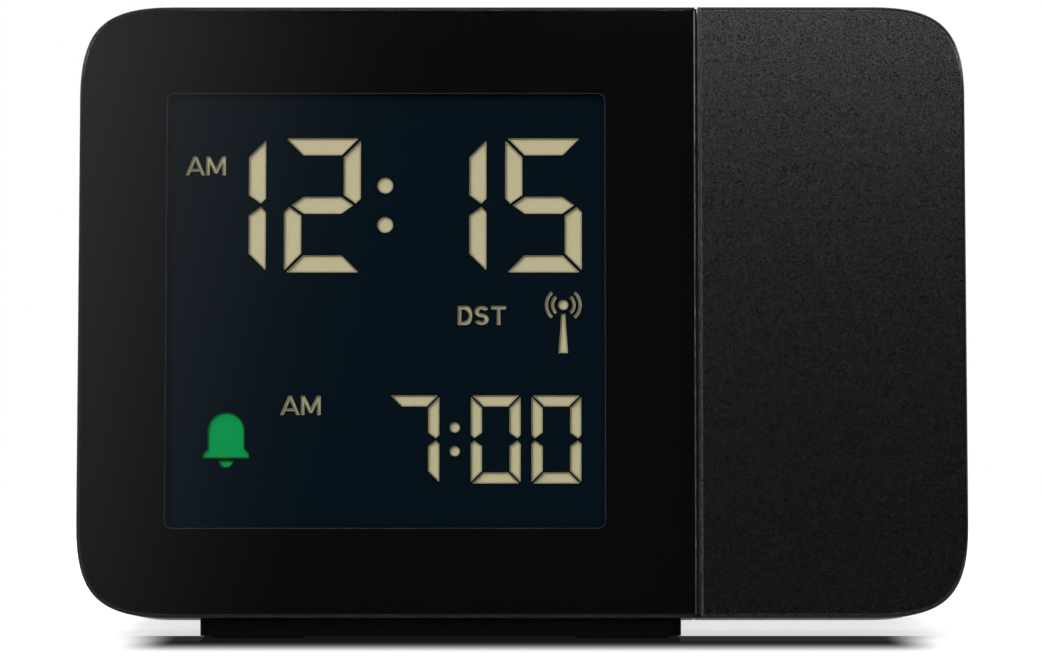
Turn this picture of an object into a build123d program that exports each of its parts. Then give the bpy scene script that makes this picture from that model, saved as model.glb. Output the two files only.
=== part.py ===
from build123d import *
import os
from math import asin, cos, degrees, radians, sin, sqrt

# A bedside alarm clock with a display housing on the left and a time projector on the
# right, which turns about a hollow shaft. Everything is modelled upright in the clock's
# own frame: X to the right, Y into the depth from the face, Z up along the face, with
# the origin at the middle of the face. Each finished piece is then leaned back, so that
# it stands on the table plane Z = 0. All sizes are in millimetres and degrees.

# ---------------------------------------------------------------- whole clock
CLOCK_WIDTH = 133.0
FACE_HEIGHT = 91.8
CLOCK_DEPTH = 50.0
BACK_RADIUS = 32.0
BACK_ARC_START = 89.0
CORNER_REACH = 13.8
CORNER_HANDLE = 0.754
EDGE_ROUND = 0.6
SIDE_ROUND = 2.0
WALL = 2.4
LEAN_ANGLE = 5.0
FRONT_LIFT = 3.35

# ---------------------------------------------------------------- fits
SEAT = 0.05
SLIP = 0.15
CLEAR = 0.3
RUNNING = 0.05

# ---------------------------------------------------------------- display housing
HOUSING_WIDTH = 92.5
SEAM_GAP = 0.4
LENS_THICK = 2.0
MASK_THICK = 0.2
MASK_MARGIN = 0.8
FRONT_WALL = 2.0
SPLIT_DEPTH = 24.0

# ---------------------------------------------------------------- display
WINDOW_WIDTH = 66.1
WINDOW_HEIGHT = 65.7
WINDOW_CORNER = 1.2
WINDOW_SHIFT = -0.25
WINDOW_Z = 0.25
WINDOW_OVERLAP = 1.2
FILM_DEPTH = 3.0
FILM_THICK = 0.35
SHEET_THICK = 0.3
FILTER_THICK = 0.15
GLASS_THICK = 2.0
GUIDE_THICK = 3.0
LCD_FRAME_WALL = 1.0
LCD_FRAME_DEPTH = 7.0
LCD_FRAME_FRONT_LIP = 0.8
LCD_FRAME_REAR_LIP = 2.0
GUIDE_DOT = 1.0
GUIDE_DOT_DEPTH = 0.5
GUIDE_DOTS = 7

TIME_DIGIT_WIDTH = 11.55
TIME_DIGIT_HEIGHT = 20.35
TIME_STROKE = 2.6
TIME_RIGHT_EDGES = {"1": -18.08, "2": -3.80}
MINUTE_RIGHT_EDGES = {"1": 15.13, "5": 29.48}
TIME_DIGIT_Z = 15.90
TIME_COLON_X = -0.13
TIME_COLON_HALF_PITCH = 2.98
TIME_DOT = 1.2

ALARM_DIGIT_WIDTH = 7.5
ALARM_DIGIT_HEIGHT = 13.25
ALARM_STROKE = 1.7
ALARM_DIGITS = (("7", 8.08), ("0", 20.28), ("0", 29.38))
ALARM_DIGIT_Z = -19.40
ALARM_COLON_X = 10.4
ALARM_COLON_HALF_PITCH = 1.78
ALARM_DOT = 0.78
SEGMENT_GAP_SHARE = 0.15

LETTER_STROKE = 0.55
LETTER_HEIGHT = 2.9
TIME_LETTERS_X = -27.2
TIME_LETTERS_Z = 21.88
ALARM_LETTERS_X = -12.77
ALARM_LETTERS_Z = -14.30
SUMMER_LETTERS_X = 14.4
SUMMER_LETTERS_Z = -0.75
SUMMER_LETTERS_PITCH = 0.88

TOWER_X = 26.67
TOWER_BALL_Z = 0.83
TOWER_BALL = 0.77
TOWER_ARC_RADII = (1.63, 2.53)
TOWER_ARC_STROKE = 0.5
TOWER_ARC_SPAN = 96.0
MAST_TOP_Z = -0.50
MAST_FOOT_Z = -6.44
MAST_TOP_WIDTH = 0.6
MAST_FOOT_WIDTH = 1.45

BELL_X = -23.9
BELL_TOP_Z = -15.35
BELL_BODY = 2.76
BELL_RIM = 3.47
BELL_RIM_Z = -22.25
BELL_RIM_HEIGHT = 0.5
BELL_FLARE_Z = -20.55
CLAPPER_RADIUS = 1.1
CLAPPER_GAP = 0.3
BELL_FILTER_MARGIN = 0.8

# ---------------------------------------------------------------- boards
BOARD_THICK = 1.6
BOARD_DEPTH = 10.2
BOARD_LEFT_INSET = 12.5
BOARD_RIGHT_INSET = 10.5
BOARD_EDGE = 2.0
BOARD_POST_RADIUS = 1.8
BOARD_POST_LEFT_INSET = 3.0
BOARD_POST_RIGHT_INSET = 4.0
CHIPS = (
    (-0.75, 5.0, 14.0, 14.0, 1.6),
    (-16.75, 12.0, 8.0, 5.0, 1.5),
    (21.25, 14.0, 9.0, 4.4, 2.2),
    (-10.75, -16.0, 5.0, 5.0, 4.5),
    (7.25, -18.0, 7.0, 4.0, 1.5),
    (23.25, -14.0, 3.2, 8.0, 3.0),
    (-24.75, -6.0, 4.0, 6.0, 2.0),
)
ZEBRA_THICK = 1.2
ZEBRA_END_GAP = 1.9
LEAD_SOCKET_LENGTH = 5.4
LEAD_SOCKET_WIDTH = 6.0
LEAD_START_GAP = 1.7

SMALL_HEAD = 1.9
SMALL_HEAD_HEIGHT = 1.2
SMALL_SHANK = 0.9
SMALL_LENGTH = 5.5

# ---------------------------------------------------------------- case screws
CASE_SCREW_LEFT_INSET = 6.2
CASE_SCREW_RIGHT_INSET = 6.1
CASE_SCREW_TOP_INSET = 6.05
CASE_BOSS = 3.4
CASE_COLUMN = 4.1
CASE_HEAD = 2.8
CASE_HEAD_HEIGHT = 2.0
CASE_SHANK = 1.25
CASE_LENGTH = 15.0
CASE_SEAT_DEPTH = 28.5

# ---------------------------------------------------------------- snooze bar
BAR_LENGTH = 58.5
BAR_DEPTH = 10.5
BAR_Y = 12.0
BAR_CORNER = 2.0
BAR_FLANGE = 1.4
BAR_FLANGE_THICK = 1.0
BAR_TRAVEL = 0.8
BAR_PLUNGER = 1.5
BAR_PLUNGER_Y = 13.6
BAR_GROOVES = 3
BAR_GROOVE_PITCH = 2.4
SNOOZE_BODY_DEPTH = 3.5
SNOOZE_BODY_HEIGHT = 4.0
SNOOZE_TIP = 1.2
SNOOZE_TIP_HEIGHT = 0.5

# ---------------------------------------------------------------- battery bay
DOOR_INSET = 5.0
DOOR_BOTTOM = -28.5
DOOR_THICK = 1.4
DOOR_LEDGE = 1.4
DOOR_CORNER = 2.0
GRIP_LENGTH = 15.0
GRIP_HEIGHT = 6.0
GRIP_DEPTH = 0.7
GRIP_RIBS = 3
TRAY_WALL = 1.0
TRAY_DEPTH = 29.8
CELL_RADIUS = 7.25
CELL_LENGTH = 49.5
CELL_NUB_RADIUS = 2.75
CELL_NUB_LENGTH = 1.0
CELL_PITCH = 16.4
CONTACT_THICK = 0.4
CONTACT_SIZE = 9.0
SPRING_GAP = 2.7

# ---------------------------------------------------------------- rear controls
PANEL_BOTTOM = 8.5
PANEL_TOP = 24.5
PANEL_FLOOR = 48.0
PANEL_WALL = 1.8
PANEL_CORNER = 2.0
BUTTON_NAMES = ("time_set", "alarm_set", "plus", "minus", "wave", "flip")
BUTTON_PITCH = 9.0
BUTTON_Z = 16.5
BUTTON_LENGTH = 6.6
BUTTON_WIDTH = 4.2
BUTTON_PROUD = 1.1
BUTTON_FLANGE = 1.0
BUTTON_FLANGE_THICK = 0.8
BUTTON_TRAVEL = 0.5
KEY_BODY = 6.0
KEY_BODY_HEIGHT = 2.9
KEY_TIP = 1.7
KEY_BOARD_DEPTH = 39.4
KEY_BOARD_LEFT_INSET = 6.5
KEY_BOARD_RIGHT_INSET = 4.0
KEY_BOARD_STEP = 1.0
KEY_BOARD_TOP = 25.5
KEY_BOARD_STEP_Z = 8.0
KEY_BOARD_BOTTOM = -27.5
KEY_POST_RADIUS = 2.2
KEY_POST_INSET = 2.5
KEY_POST_SIDE_INSET = 2.2
KEY_POST_LEFT = 9.0
KEY_POST_MIDDLE = 10.5
KEY_POST_STEP = 3.9

SWITCH_NAMES = ("alarm", "projector")
SWITCH_Z = {"alarm": -1.3, "projector": -8.3}
SWITCH_TRAVEL = 4.0
KNOB_LENGTH = 3.8
KNOB_WIDTH = 2.2
KNOB_PROUD = 0.9
KNOB_FLANGE = 1.4
KNOB_FLANGE_THICK = 0.6
SWITCH_POCKET_DEPTH = 1.2
SWITCH_POCKET_MARGIN = 1.5
SWITCH_BODY_LENGTH = 9.0
SWITCH_BODY_WIDTH = 5.0

BUZZER_Z = 13.0
BUZZER_RADIUS = 9.0
BUZZER_HEIGHT = 4.8
GRILLE_HOLE = 0.8
GRILLE_RING_COUNTS = (6, 12)
GRILLE_RING_RADII = (3.1, 6.2)
BUZZER_COLLAR = 1.2
BUZZER_COLLAR_GAP = 2.0

SOCKET_Z = -17.0
SOCKET_BODY = 9.0
SOCKET_COLLAR = 4.0
SOCKET_BORE = 2.9
SOCKET_PIN = 1.05
SOCKET_BORE_LENGTH = 8.0

# ---------------------------------------------------------------- time-signal antenna
ROD_RADIUS = 4.0
ROD_LENGTH = 60.0
ROD_SHIFT = -1.75
ROD_Y = 30.0
ROD_TOP_INSET = 12.9
COIL_RADIUS = 6.0
COIL_LENGTH = 20.0
ROD_CLIP_WIDTH = 4.0
ROD_CLIP_SPAN = 44.0

# ---------------------------------------------------------------- foot
FOOT_LEFT_INSET = 18.3
FOOT_RIGHT_INSET = 2.2
FOOT_FRONT = 3.0
FOOT_LENGTH = 34.0
FOOT_CORNER = 2.0
FOOT_REACH = 12.0
PAD_LENGTH = 14.0
PAD_WIDTH = 5.0
PAD_THICK = 1.2
PAD_PROUD = 0.4
PAD_INSET = 1.6
PAD_CORNER = 1.5
FOOT_SCREW_INSET = 20.2
FOOT_SCREW_FRONT_Y = 7.2
FOOT_SCREW_REAR_Y = 31.0
FOOT_SEAT_FRONT_Z = -46.9
FOOT_SEAT_REAR_Z = -44.2
FOOT_BOSS = 3.0

# ---------------------------------------------------------------- projector pivot
PIVOT_Y = 12.0
SHAFT_RADIUS = 5.5
SHAFT_BORE = 3.2
SHAFT_FLANGE = 9.0
SHAFT_FLANGE_THICK = 2.0
BUSH_RADIUS = 6.8
BUSH_FLANGE = 7.7
BUSH_FLANGE_THICK = 1.2
WASHER_THICK = 0.5
CLIP_THICK = 1.0
CLIP_RADIUS = 6.6
CLIP_GROOVE = 0.6
SHAFT_END = 1.8

# ---------------------------------------------------------------- projector optics
LENS_Y = 16.0
WELL_RADIUS = 12.0
WELL_DEPTH = 3.0
WELL_FLOOR = 1.6
WELL_PAD = 1.5
RING_RADIUS = 11.4
RING_BORE = 6.9
RING_HEIGHT = 2.5
RING_NOTCHES = 30
RING_NOTCH = 0.45
RING_DISH = 1.5
RING_DISH_DEPTH = 1.2
SKIRT_WALL = 0.7
SKIRT_LENGTH = 4.0
BARREL_RADIUS = 6.6
BARREL_WALL = 1.0
BARREL_LENGTH = 13.8
BARREL_DROP = 1.6
LEDGE = 0.6
LENS_SEAT_DROP = 3.8
LENS_BULGE = 1.5
LENS_RIM = 1.7
TUBE_BORE = 8.3
TUBE_WALL = 1.2
TUBE_LENGTH = 61.3
TUBE_FLANGE = 12.3
TUBE_FLANGE_THICK = 3.0
SLIDE_LEDGE_Z = 10.0
SLIDE_WIDTH = 11.0
SLIDE_HEIGHT = 10.0
SLIDE_THICK = 1.1
CONDENSER_LEDGE_Z = 0.0
CONDENSER_RIM = 1.2
CONDENSER_BULGE = 2.8
TUBE_LEDGE_THICK = 1.0
TUBE_LEDGE_REACH = 2.8
LED_RADIUS = 2.5
LED_LENGTH = 8.6
LED_FLANGE = 2.9
LED_FLANGE_THICK = 1.0
LED_BOARD_LENGTH = 24.0
LED_BOARD_WIDTH = 17.0
LED_SCREW_OFFSET = 10.4
EAR_SPAN = 24.8
EAR_HEIGHT = 6.0
EAR_THICK = 3.0
EAR_Z = -8.0
EAR_SCREW_OFFSET = 9.8
EAR_POST = 2.5
EAR_LAP = 0.3

PLATE_BOSS = 3.0
PLATE_BOSS_LENGTH = 6.8
PLATE_BOSS_LAP = 0.5
PLATE_BOSS_ANGLE = 40.0

LEAD_RADIUS = 1.2
LEAD_BOTTOM_Z = -24.5
LEAD_BEND = 3.0
LEAD_END_BEND = 2.8
LEAD_END_GAP = 5.45
PLUG_LENGTH = 5.0
PLUG_WIDTH = 5.0
PLUG_HEIGHT = 5.0

# ---------------------------------------------------------------- places that follow
HALF_WIDTH = CLOCK_WIDTH / 2
HALF_HEIGHT = FACE_HEIGHT / 2
ARC_Y = CLOCK_DEPTH - BACK_RADIUS
ARC_Z = HALF_HEIGHT - BACK_RADIUS * sin(radians(BACK_ARC_START))
HOUSING_LEFT = -HALF_WIDTH
HOUSING_RIGHT = HOUSING_LEFT + HOUSING_WIDTH
HOUSING_X = (HOUSING_LEFT + HOUSING_RIGHT) / 2
PROJECTOR_LEFT = HOUSING_RIGHT + SEAM_GAP
INNER_TOP = HALF_HEIGHT - WALL
INNER_BACK = CLOCK_DEPTH - WALL
FRAME_FRONT = LENS_THICK + MASK_THICK
FRAME_INNER = FRAME_FRONT + FRONT_WALL
BOARD_BACK = BOARD_DEPTH + BOARD_THICK
KEY_BOARD_BACK = KEY_BOARD_DEPTH + BOARD_THICK

WINDOW_X = HOUSING_X + WINDOW_SHIFT
BAR_X = WINDOW_X
ROD_X = HOUSING_X + ROD_SHIFT
ROD_Z = HALF_HEIGHT - ROD_TOP_INSET
LCD_WIDTH = WINDOW_WIDTH + 2 * WINDOW_OVERLAP
LCD_HEIGHT = WINDOW_HEIGHT + 2 * WINDOW_OVERLAP
LCD_FRAME_WIDTH = LCD_WIDTH + 2 * LCD_FRAME_WALL
LCD_FRAME_HEIGHT = LCD_HEIGHT + 2 * LCD_FRAME_WALL
LCD_FRAME_TOP = WINDOW_Z + LCD_FRAME_HEIGHT / 2
LCD_FRAME_BOTTOM = WINDOW_Z - LCD_FRAME_HEIGHT / 2

BOARD_LEFT = HOUSING_LEFT + BOARD_LEFT_INSET
BOARD_RIGHT = HOUSING_RIGHT - BOARD_RIGHT_INSET
BOARD_X = (BOARD_LEFT + BOARD_RIGHT) / 2
BOARD_POST_Z = LCD_FRAME_TOP + CLEAR + BOARD_POST_RADIUS
BOARD_POST_LEFT = BOARD_LEFT + BOARD_POST_LEFT_INSET
BOARD_POST_RIGHT = BOARD_RIGHT - BOARD_POST_RIGHT_INSET
BOARD_POSTS = [
    (x, side * BOARD_POST_Z) for x in (BOARD_POST_LEFT, BOARD_POST_RIGHT) for side in (-1, 1)
]
ZEBRA_Z = LCD_FRAME_BOTTOM - SLIP - CLEAR - ZEBRA_THICK / 2
ZEBRA_LENGTH = BOARD_POST_RIGHT - BOARD_POST_LEFT - 2 * (BOARD_POST_RADIUS + ZEBRA_END_GAP)
FOOT_BOSS_TOP_Z = ZEBRA_Z - ZEBRA_THICK / 2 - CLEAR

CASE_SCREW_LEFT = HOUSING_LEFT + CASE_SCREW_LEFT_INSET
CASE_SCREW_RIGHT = HOUSING_RIGHT - CASE_SCREW_RIGHT_INSET
CASE_SCREW_Z = HALF_HEIGHT - CASE_SCREW_TOP_INSET
CASE_SCREWS = [
    (x, side * CASE_SCREW_Z) for x in (CASE_SCREW_LEFT, CASE_SCREW_RIGHT) for side in (-1, 1)
]

CELL_ROOM = CELL_LENGTH + CELL_NUB_LENGTH + SPRING_GAP + 2 * SEAT
TRAY_INNER_WIDTH = CELL_ROOM + 2 * (SEAT + CONTACT_THICK)
TRAY_INNER_HEIGHT = CELL_PITCH + 2 * (CELL_RADIUS + SLIP)
DOOR_WIDTH = TRAY_INNER_WIDTH + 2 * DOOR_LEDGE
DOOR_HEIGHT = TRAY_INNER_HEIGHT + 2 * DOOR_LEDGE
DOOR_LEFT = HOUSING_LEFT + DOOR_INSET
DOOR_RIGHT = DOOR_LEFT + DOOR_WIDTH
DOOR_TOP = DOOR_BOTTOM + DOOR_HEIGHT
RIGHT_BAY_X = (DOOR_RIGHT + HOUSING_RIGHT - WALL) / 2
KEY_BOARD_LEFT = HOUSING_LEFT + KEY_BOARD_LEFT_INSET
KEY_BOARD_RIGHT = HOUSING_RIGHT - KEY_BOARD_RIGHT_INSET
KEY_BOARD_STEP_X = DOOR_RIGHT + KEY_BOARD_STEP
KEY_POSTS = (
    (KEY_BOARD_LEFT + KEY_POST_LEFT, KEY_BOARD_TOP - KEY_POST_INSET),
    (DOOR_RIGHT - KEY_POST_MIDDLE, KEY_BOARD_TOP - KEY_POST_INSET),
    (KEY_BOARD_RIGHT - KEY_POST_SIDE_INSET, KEY_BOARD_TOP - KEY_POST_INSET),
    (KEY_BOARD_STEP_X + KEY_POST_STEP, KEY_BOARD_BOTTOM + KEY_POST_INSET),
    (KEY_BOARD_RIGHT - KEY_POST_SIDE_INSET, KEY_BOARD_BOTTOM + KEY_POST_INSET),
)

FOOT_LEFT = HOUSING_LEFT + FOOT_LEFT_INSET
FOOT_RIGHT = HOUSING_RIGHT - FOOT_RIGHT_INSET
FOOT_SCREW_X = (FOOT_LEFT + FOOT_SCREW_INSET, FOOT_RIGHT - FOOT_SCREW_INSET)

LEAN_COS = cos(radians(LEAN_ANGLE))
LEAN_SIN = sin(radians(LEAN_ANGLE))
FRONT_REACH = EDGE_ROUND * LEAN_COS - (HALF_HEIGHT - EDGE_ROUND) * LEAN_SIN - EDGE_ROUND
REAR_REACH = ARC_Y * LEAN_COS + ARC_Z * LEAN_SIN + BACK_RADIUS
LEAN = Location(
    (0, -(FRONT_REACH + REAR_REACH) / 2, FRONT_LIFT + HALF_HEIGHT * LEAN_COS),
    (-LEAN_ANGLE, 0, 0),
)
TABLE = Plane(
    origin=(0, FRONT_LIFT * LEAN_SIN, -HALF_HEIGHT - FRONT_LIFT * LEAN_COS),
    x_dir=(1, 0, 0),
    z_dir=(0, -LEAN_SIN, LEAN_COS),
)


# ---------------------------------------------------------------- shared shapes
def face_plane(depth):
    """Plane parallel to the face at a depth, drawn in X and Z and facing the user."""
    return Plane.XZ.offset(-depth)


def side_plane(x):
    """Plane across the clock at x, drawn in Y and Z and facing right."""
    return Plane.YZ.offset(x)


def level_plane(z):
    """Level plane at a height, drawn in X and Y and facing up."""
    return Plane.XY.offset(z)


def front_outline(inset, depth):
    """Soft-cornered front outline of the whole clock, inset from its skin."""
    half_width = HALF_WIDTH - inset
    half_height = HALF_HEIGHT - inset
    reach = CORNER_REACH - inset
    pull = reach * (1 - CORNER_HANDLE)
    with BuildSketch(face_plane(depth)) as outline:
        with BuildLine():
            top = Line((0, half_height), (half_width - reach, half_height))
            corner = Bezier(
                top @ 1,
                (half_width - pull, half_height),
                (half_width, half_height - pull),
                (half_width, half_height - reach),
            )
            Line(corner @ 1, (half_width, 0))
            mirror(about=Plane.YZ)
            mirror(about=Plane.XZ)
        make_face()
    return outline.sketch


def side_outline(inset, x):
    """D-shaped side outline, flat in front and round behind, inset from the skin."""
    top = HALF_HEIGHT - inset
    back = CLOCK_DEPTH - inset
    front = -1.0
    radius = BACK_RADIUS - inset
    arc_z = top - radius * sin(radians(BACK_ARC_START))
    with BuildSketch(side_plane(x)) as outline:
        with BuildLine():
            arc = CenterArc((ARC_Y, arc_z), radius, BACK_ARC_START, -BACK_ARC_START)
            Polyline((front, 0), (front, top), arc @ 0)
            Line((back, arc_z), (back, 0))
            mirror(about=Plane.XZ)
        make_face()
    return outline.sketch


def clock_block(inset, left, right, front, back):
    """Solid stretch of the clock's form, inset from its skin."""
    with BuildPart() as block:
        extrude(front_outline(inset, back), amount=back - front)
        extrude(side_outline(inset, left), amount=right - left, mode=Mode.INTERSECT)
    return block.part


def rounded_block(left, right, front, back):
    """Solid stretch of the clock's form with its rear side edges rounded."""
    block = clock_block(0, left, right, front, back)
    rear_side_edges = [
        edge
        for edge in block.edges()
        if abs(edge.center().X) > HALF_WIDTH - CORNER_REACH
        and edge.geom_type != GeomType.LINE
        and edge.bounding_box().size.Y > SIDE_ROUND
    ]
    return fillet(rear_side_edges, radius=SIDE_ROUND)


def dome(axis_x, axis_y, seat_z, radius, rim, bulge):
    """Plano-convex lens with its flat side down on a seat."""
    ball = (radius**2 + bulge**2) / (2 * bulge)
    half_angle = degrees(asin(radius / ball))
    crown = seat_z + rim + bulge
    with BuildPart() as lens:
        with BuildSketch(Plane(origin=(axis_x, axis_y, 0), x_dir=(1, 0, 0), z_dir=(0, -1, 0))):
            with BuildLine():
                Polyline((0, crown), (0, seat_z), (radius, seat_z), (radius, seat_z + rim))
                CenterArc((0, crown - ball), ball, 90 - half_angle, half_angle)
            make_face()
        revolve(axis=Axis((axis_x, axis_y, 0), (0, 0, 1)))
    return lens


def write_piece(piece, name):
    """Lean a finished piece back with the clock, label it and write its STEP file."""
    piece.part.move(LEAN)
    piece.part.label = name
    export_step(piece.part, f"parts/{name}.step")


def small_screw():
    """Small pan-head screw standing on its head's seat, with its shank along -Z."""
    with BuildPart() as screw:
        with BuildSketch():
            Circle(SMALL_HEAD)
        extrude(amount=SMALL_HEAD_HEIGHT)
        with BuildSketch():
            Circle(SMALL_SHANK)
        extrude(amount=-SMALL_LENGTH)
        with BuildSketch(Plane.XY.offset(SMALL_HEAD_HEIGHT)):
            SlotOverall(SMALL_HEAD * 1.3, SMALL_HEAD * 0.3)
            SlotOverall(SMALL_HEAD * 1.3, SMALL_HEAD * 0.3, rotation=90)
        extrude(amount=-SMALL_HEAD_HEIGHT / 2, mode=Mode.SUBTRACT)
    return screw.part


def case_screw():
    """Case screw standing on its head's seat, with its shank along -Z."""
    with BuildPart() as screw:
        with BuildSketch():
            Circle(CASE_HEAD)
        extrude(amount=CASE_HEAD_HEIGHT)
        with BuildSketch():
            Circle(CASE_SHANK)
        extrude(amount=-CASE_LENGTH)
        with BuildSketch(Plane.XY.offset(CASE_HEAD_HEIGHT)):
            SlotOverall(CASE_HEAD * 1.3, CASE_HEAD * 0.3)
            SlotOverall(CASE_HEAD * 1.3, CASE_HEAD * 0.3, rotation=90)
        extrude(amount=-CASE_HEAD_HEIGHT / 2, mode=Mode.SUBTRACT)
    return screw.part


os.makedirs("parts", exist_ok=True)

# ================================================================ display signs
SEGMENTS_OF = {"0": "abcdef", "1": "bc", "2": "abged", "5": "afgcd", "7": "abc"}


def segment_points(name, width, height, stroke):
    """Corner points of one bar of a seven-bar digit centred on the origin."""
    gap = SEGMENT_GAP_SHARE * stroke
    mitre = gap / sqrt(2)
    half_width = width / 2
    half_height = height / 2
    tip = 0.3 * stroke
    slope_rise = stroke / 2
    slope_run = stroke - tip
    slope_length = sqrt(slope_rise**2 + slope_run**2)
    level_shift = gap / 2 * slope_length / slope_rise
    upright_shift = gap / 2 * slope_length / slope_run
    if name in "ad":
        points = (
            (-half_width + mitre, half_height),
            (half_width - mitre, half_height),
            (half_width - stroke - mitre, half_height - stroke),
            (-half_width + stroke + mitre, half_height - stroke),
        )
        return points if name == "a" else tuple((x, -y) for x, y in points)
    if name == "g":
        outer = half_width - tip - level_shift
        inner = half_width - stroke - level_shift
        return (
            (-outer, 0),
            (-inner, slope_rise),
            (inner, slope_rise),
            (outer, 0),
            (inner, -slope_rise),
            (-inner, -slope_rise),
        )
    points = (
        (half_width, half_height - mitre),
        (half_width - stroke, half_height - stroke - mitre),
        (half_width - stroke, slope_rise + upright_shift),
        (half_width - tip, upright_shift),
        (half_width, upright_shift + tip),
    )
    turn_x = 1 if name in "bc" else -1
    turn_y = 1 if name in "bf" else -1
    return tuple((x * turn_x, y * turn_y) for x, y in points)


def digit(character, width, height, stroke):
    """Seven-bar digit as loose bars, with softened outer corners."""
    with BuildSketch() as sign:
        for name in SEGMENTS_OF[character]:
            with BuildLine():
                Polyline(*segment_points(name, width, height, stroke), close=True)
            make_face()
        RectangleRounded(width, height, 0.3 * stroke, mode=Mode.INTERSECT)
    return sign.sketch


def capital_a():
    """Bold capital A, one letter high and centred."""
    half = LETTER_HEIGHT / 2
    leg = 0.42 * LETTER_HEIGHT
    bar = -0.22 * LETTER_HEIGHT
    bar_half = leg * (half - bar) / LETTER_HEIGHT
    with BuildSketch() as letter:
        with BuildLine():
            Polyline(
                (-leg - LETTER_STROKE / 2, -half),
                (-LETTER_STROKE / 2, half),
                (LETTER_STROKE / 2, half),
                (leg + LETTER_STROKE / 2, -half),
                (leg - LETTER_STROKE / 2, -half),
                (0, half - LETTER_STROKE * 1.3),
                (-leg + LETTER_STROKE / 2, -half),
                close=True,
            )
        make_face()
        with Locations((0, bar)):
            Rectangle(2 * bar_half, LETTER_STROKE * 0.8)
    return letter.sketch


def capital_m():
    """Bold capital M, one letter high and centred."""
    half = LETTER_HEIGHT / 2
    side = 0.42 * LETTER_HEIGHT
    valley = -0.32 * LETTER_HEIGHT
    stroke = LETTER_STROKE
    with BuildSketch() as letter:
        with Locations((-side, 0), (side, 0)):
            Rectangle(stroke, LETTER_HEIGHT)
        with BuildLine():
            Polyline(
                (-side, half),
                (-side + stroke * 0.6, half),
                (0, valley + stroke),
                (side - stroke * 0.6, half),
                (side, half),
                (side, half - stroke * 1.1),
                (stroke * 0.4, valley - stroke * 0.4),
                (-stroke * 0.4, valley - stroke * 0.4),
                (-side, half - stroke * 1.1),
                close=True,
            )
        make_face()
    return letter.sketch


def capital_d():
    """Bold capital D, one letter high and centred."""
    half = LETTER_HEIGHT / 2
    left = -0.36 * LETTER_HEIGHT
    bend = 0.1 * LETTER_HEIGHT
    with BuildSketch() as letter:
        for inset, mode in ((0, Mode.ADD), (LETTER_STROKE, Mode.SUBTRACT)):
            with BuildLine():
                Line((left + inset, -half + inset), (left + inset, half - inset))
                Line((left + inset, half - inset), (bend - inset, half - inset))
                EllipticalCenterArc(
                    (bend - inset, 0),
                    0.3 * LETTER_HEIGHT,
                    half - inset,
                    start_angle=-90,
                    arc_size=180,
                )
                Line((bend - inset, -half + inset), (left + inset, -half + inset))
            make_face(mode=mode)
    return letter.sketch


def capital_s():
    """Bold capital S, one letter high and centred."""
    bowl = (LETTER_HEIGHT - LETTER_STROKE) / 4
    with BuildSketch() as letter:
        with BuildLine() as path:
            CenterArc((0, bowl), bowl, 20, 250)
            CenterArc((0, -bowl), bowl, 90, -250)
        trace(path.line, line_width=LETTER_STROKE)
    return scale(letter.sketch, by=(1.25, 1, 1))


def capital_t():
    """Bold capital T, one letter high and centred."""
    half = LETTER_HEIGHT / 2
    with BuildSketch() as letter:
        Rectangle(LETTER_STROKE, LETTER_HEIGHT)
        with Locations((0, half - LETTER_STROKE / 2)):
            Rectangle(0.78 * LETTER_HEIGHT, LETTER_STROKE)
    return letter.sketch


def tower_sign():
    """Radio mast with a ball and two pairs of waves, placed from the window's middle."""
    with BuildSketch() as sign:
        with Locations((TOWER_X, TOWER_BALL_Z)):
            Circle(TOWER_BALL)
        for radius in TOWER_ARC_RADII:
            for middle in (0, 180):
                with BuildLine() as wave:
                    CenterArc(
                        (TOWER_X, TOWER_BALL_Z),
                        radius,
                        middle - TOWER_ARC_SPAN / 2,
                        TOWER_ARC_SPAN,
                    )
                trace(wave.line, line_width=TOWER_ARC_STROKE)
        with BuildLine():
            Polyline(
                (TOWER_X - MAST_TOP_WIDTH / 2, MAST_TOP_Z),
                (TOWER_X + MAST_TOP_WIDTH / 2, MAST_TOP_Z),
                (TOWER_X + MAST_FOOT_WIDTH / 2, MAST_FOOT_Z),
                (TOWER_X - MAST_FOOT_WIDTH / 2, MAST_FOOT_Z),
                close=True,
            )
        make_face()
    return sign.sketch


def bell_sign():
    """Bell with its clapper, placed from the window's middle."""
    shoulder = BELL_TOP_Z - BELL_BODY
    flare = BELL_FLARE_Z
    rim_top = BELL_RIM_Z + BELL_RIM_HEIGHT
    with BuildSketch(Plane.XY) as sign:
        with BuildLine():
            CenterArc((BELL_X, shoulder), BELL_BODY, 0, 180)
            for side in (-1, 1):
                Line((BELL_X + side * BELL_BODY, shoulder), (BELL_X + side * BELL_BODY, flare))
                Bezier(
                    (BELL_X + side * BELL_BODY, flare),
                    (BELL_X + side * BELL_BODY, (flare + rim_top) / 2),
                    (BELL_X + side * BELL_RIM, (flare + rim_top) / 2),
                    (BELL_X + side * BELL_RIM, rim_top),
                )
                Line((BELL_X + side * BELL_RIM, rim_top), (BELL_X + side * BELL_RIM, BELL_RIM_Z))
            Line((BELL_X - BELL_RIM, BELL_RIM_Z), (BELL_X + BELL_RIM, BELL_RIM_Z))
        make_face()
        with BuildLine():
            clapper_z = BELL_RIM_Z - CLAPPER_GAP
            Line((BELL_X - CLAPPER_RADIUS, clapper_z), (BELL_X + CLAPPER_RADIUS, clapper_z))
            CenterArc((BELL_X, clapper_z), CLAPPER_RADIUS, 180, 180)
        make_face()
    return sign.sketch


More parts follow.
